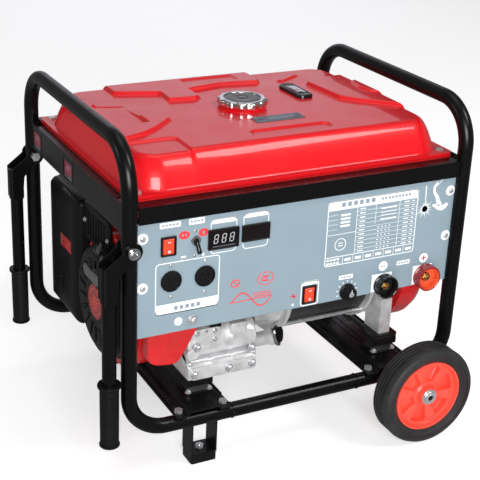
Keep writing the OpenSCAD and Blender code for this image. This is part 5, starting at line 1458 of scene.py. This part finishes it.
def black_plate_and_shade():
    """A black ribbed plate above the recoil cover, with a screw at each side; its black is partly painted
    shade that darkens the space above the recoil cover.
    """
    x = node_box("blower_housing")[0][0]
    plate = moulded(138, 74, 16, [(0, 0), (0, 4), (1.2, 5.6), (3, 6.4)])
    ribs = [moved(slab(3, 52, 2.4, 1.2, 0.8, 4), (k * 14, 0, 6.0)) for k in range(-3, 4)]
    # The plate's black darkens the space above the recoil cover: partly painted shade.
    piece("engine_plate_and_painted_shade", on_left(together(plate, *ribs), x - 0.5, 244, 408), F["black"],
          "frame")
    screws = [on_left(hex_bolt(3.4, 2.6, 1), x - 6.6, 244 + side * 58, 408) for side in (-1, 1)]
    piece("control_plate_screws", together(*screws), F["zinc"], "frame")


def pull_rope():
    """The starter rope: three strands twisted together."""
    low, high = node_box("starter_grip")
    y, z = (low + high)[1] / 2, (low + high)[2] / 2
    run = np.linspace(0, 1, 220)
    lay = 2 * math.pi * 9 * run
    x = low[0] + 12 + 30 * run
    strands = []
    for turn in (0, 2 * math.pi / 3, 4 * math.pi / 3):
        path = np.stack([x, y + 1.0 * np.cos(lay + turn), z + 1.0 * np.sin(lay + turn)], 1)
        strands.append(swept(path, 1.25, 8, (0, 0, 1)))
    rope = piece("starter_rope", together(*strands), F["rope"], "")
    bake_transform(rope)


wheels()
mount_set()
member_ridges()
shroud_front()
black_plate_and_shade()
pull_rope()
weld_beads()
pivot_caps()
grip_ribs()
side_bar_tags()
recoil_dress()
pull_grip()
filter_box()
casting()
oil_cap()


# ---- Floor, light and camera ----

WHITE_LIGHT = (1.0, 1.0, 1.0)
LAMPS = (
    ("key", (-1.5, -4.2, 1.9), 2.2, 195, WHITE_LIGHT),
    ("top", (0.3, 0.4, 4.0), 2.2, 16, WHITE_LIGHT),
    ("side", (1.9, -2.2, 3.6), 1.3, 50, WHITE_LIGHT),
    ("back", (1.6, 4.2, 2.0), 3.1, 17, (0.92, 0.86, 1.0)),
    ("left", (-3.6, 1.2, 1.9), 0.9, 8, WHITE_LIGHT),
)
LAMPS_AIM = (0, 0, 0.35)


def studio():
    """A pale floor that stays out of reflections, an even pale sky and five square lamps."""
    mesh = bpy.data.meshes.new("floor")
    half = 40.0
    corners = [(-half, -half, 0), (half, -half, 0), (half, half, 0), (-half, half, 0)]
    mesh.from_pydata(corners, [], [(0, 1, 2, 3)])
    floor = bpy.data.objects.new("floor", mesh)
    bpy.context.scene.collection.objects.link(floor)
    mesh.materials.append(finish("floor_white", (0.93, 0.93, 0.93), 0.75, shade=0.995, patch=900,
                                 grain=30, grain_depth=0.01, glow=0.50))
    floor.visible_glossy = False
    world = bpy.data.worlds.new("studio")
    bpy.context.scene.world = world
    world.use_nodes = True
    world.node_tree.nodes["Background"].inputs["Color"].default_value = (1, 1, 1, 1)
    world.node_tree.nodes["Background"].inputs["Strength"].default_value = 0.20
    for name, place, size, power, colour in LAMPS:
        lamp = bpy.data.lights.new(name, "AREA")
        lamp.size = size
        lamp.energy = power
        lamp.color = colour
        made = bpy.data.objects.new(name, lamp)
        bpy.context.scene.collection.objects.link(made)
        made.location = place
        towards = np.array(LAMPS_AIM) - np.array(place)
        made.rotation_euler = aim(towards / np.linalg.norm(towards), 0.0).to_euler()


def aim(direction, roll):
    """The rotation of a lamp or camera that looks along a direction, rolled by an angle in degrees."""
    d = Vector(direction)
    right = d.cross(Vector((0, 0, 1))).normalized()
    up = right.cross(d)
    c, s = math.cos(math.radians(roll)), math.sin(math.radians(roll))
    turned_right, turned_up = c * right + s * up, c * up - s * right
    return Matrix((turned_right, turned_up, -d)).transposed()


AZIMUTH = -26.50
ELEVATION = 22.65
ROLL = 1.83
CAMERA_AT = (-0.9700, -1.8626, 1.2372)
LENS = 86.76
SHIFT = (0.0621, -0.0237)


def camera():
    """The camera at the machine's front left, a little above it."""
    data = bpy.data.cameras.new("camera")
    data.lens = LENS
    data.sensor_width = 36.0
    data.shift_x, data.shift_y = SHIFT
    data.clip_end = 200.0
    made = bpy.data.objects.new("camera", data)
    bpy.context.scene.collection.objects.link(made)
    a, e = math.radians(AZIMUTH), math.radians(ELEVATION)
    direction = (-math.sin(a) * math.cos(e), math.cos(a) * math.cos(e), -math.sin(e))
    made.matrix_world = aim(direction, ROLL).to_4x4()
    made.location = CAMERA_AT
    bpy.context.scene.camera = made


bpy.context.scene.view_settings.view_transform = "Standard"
studio()
camera()
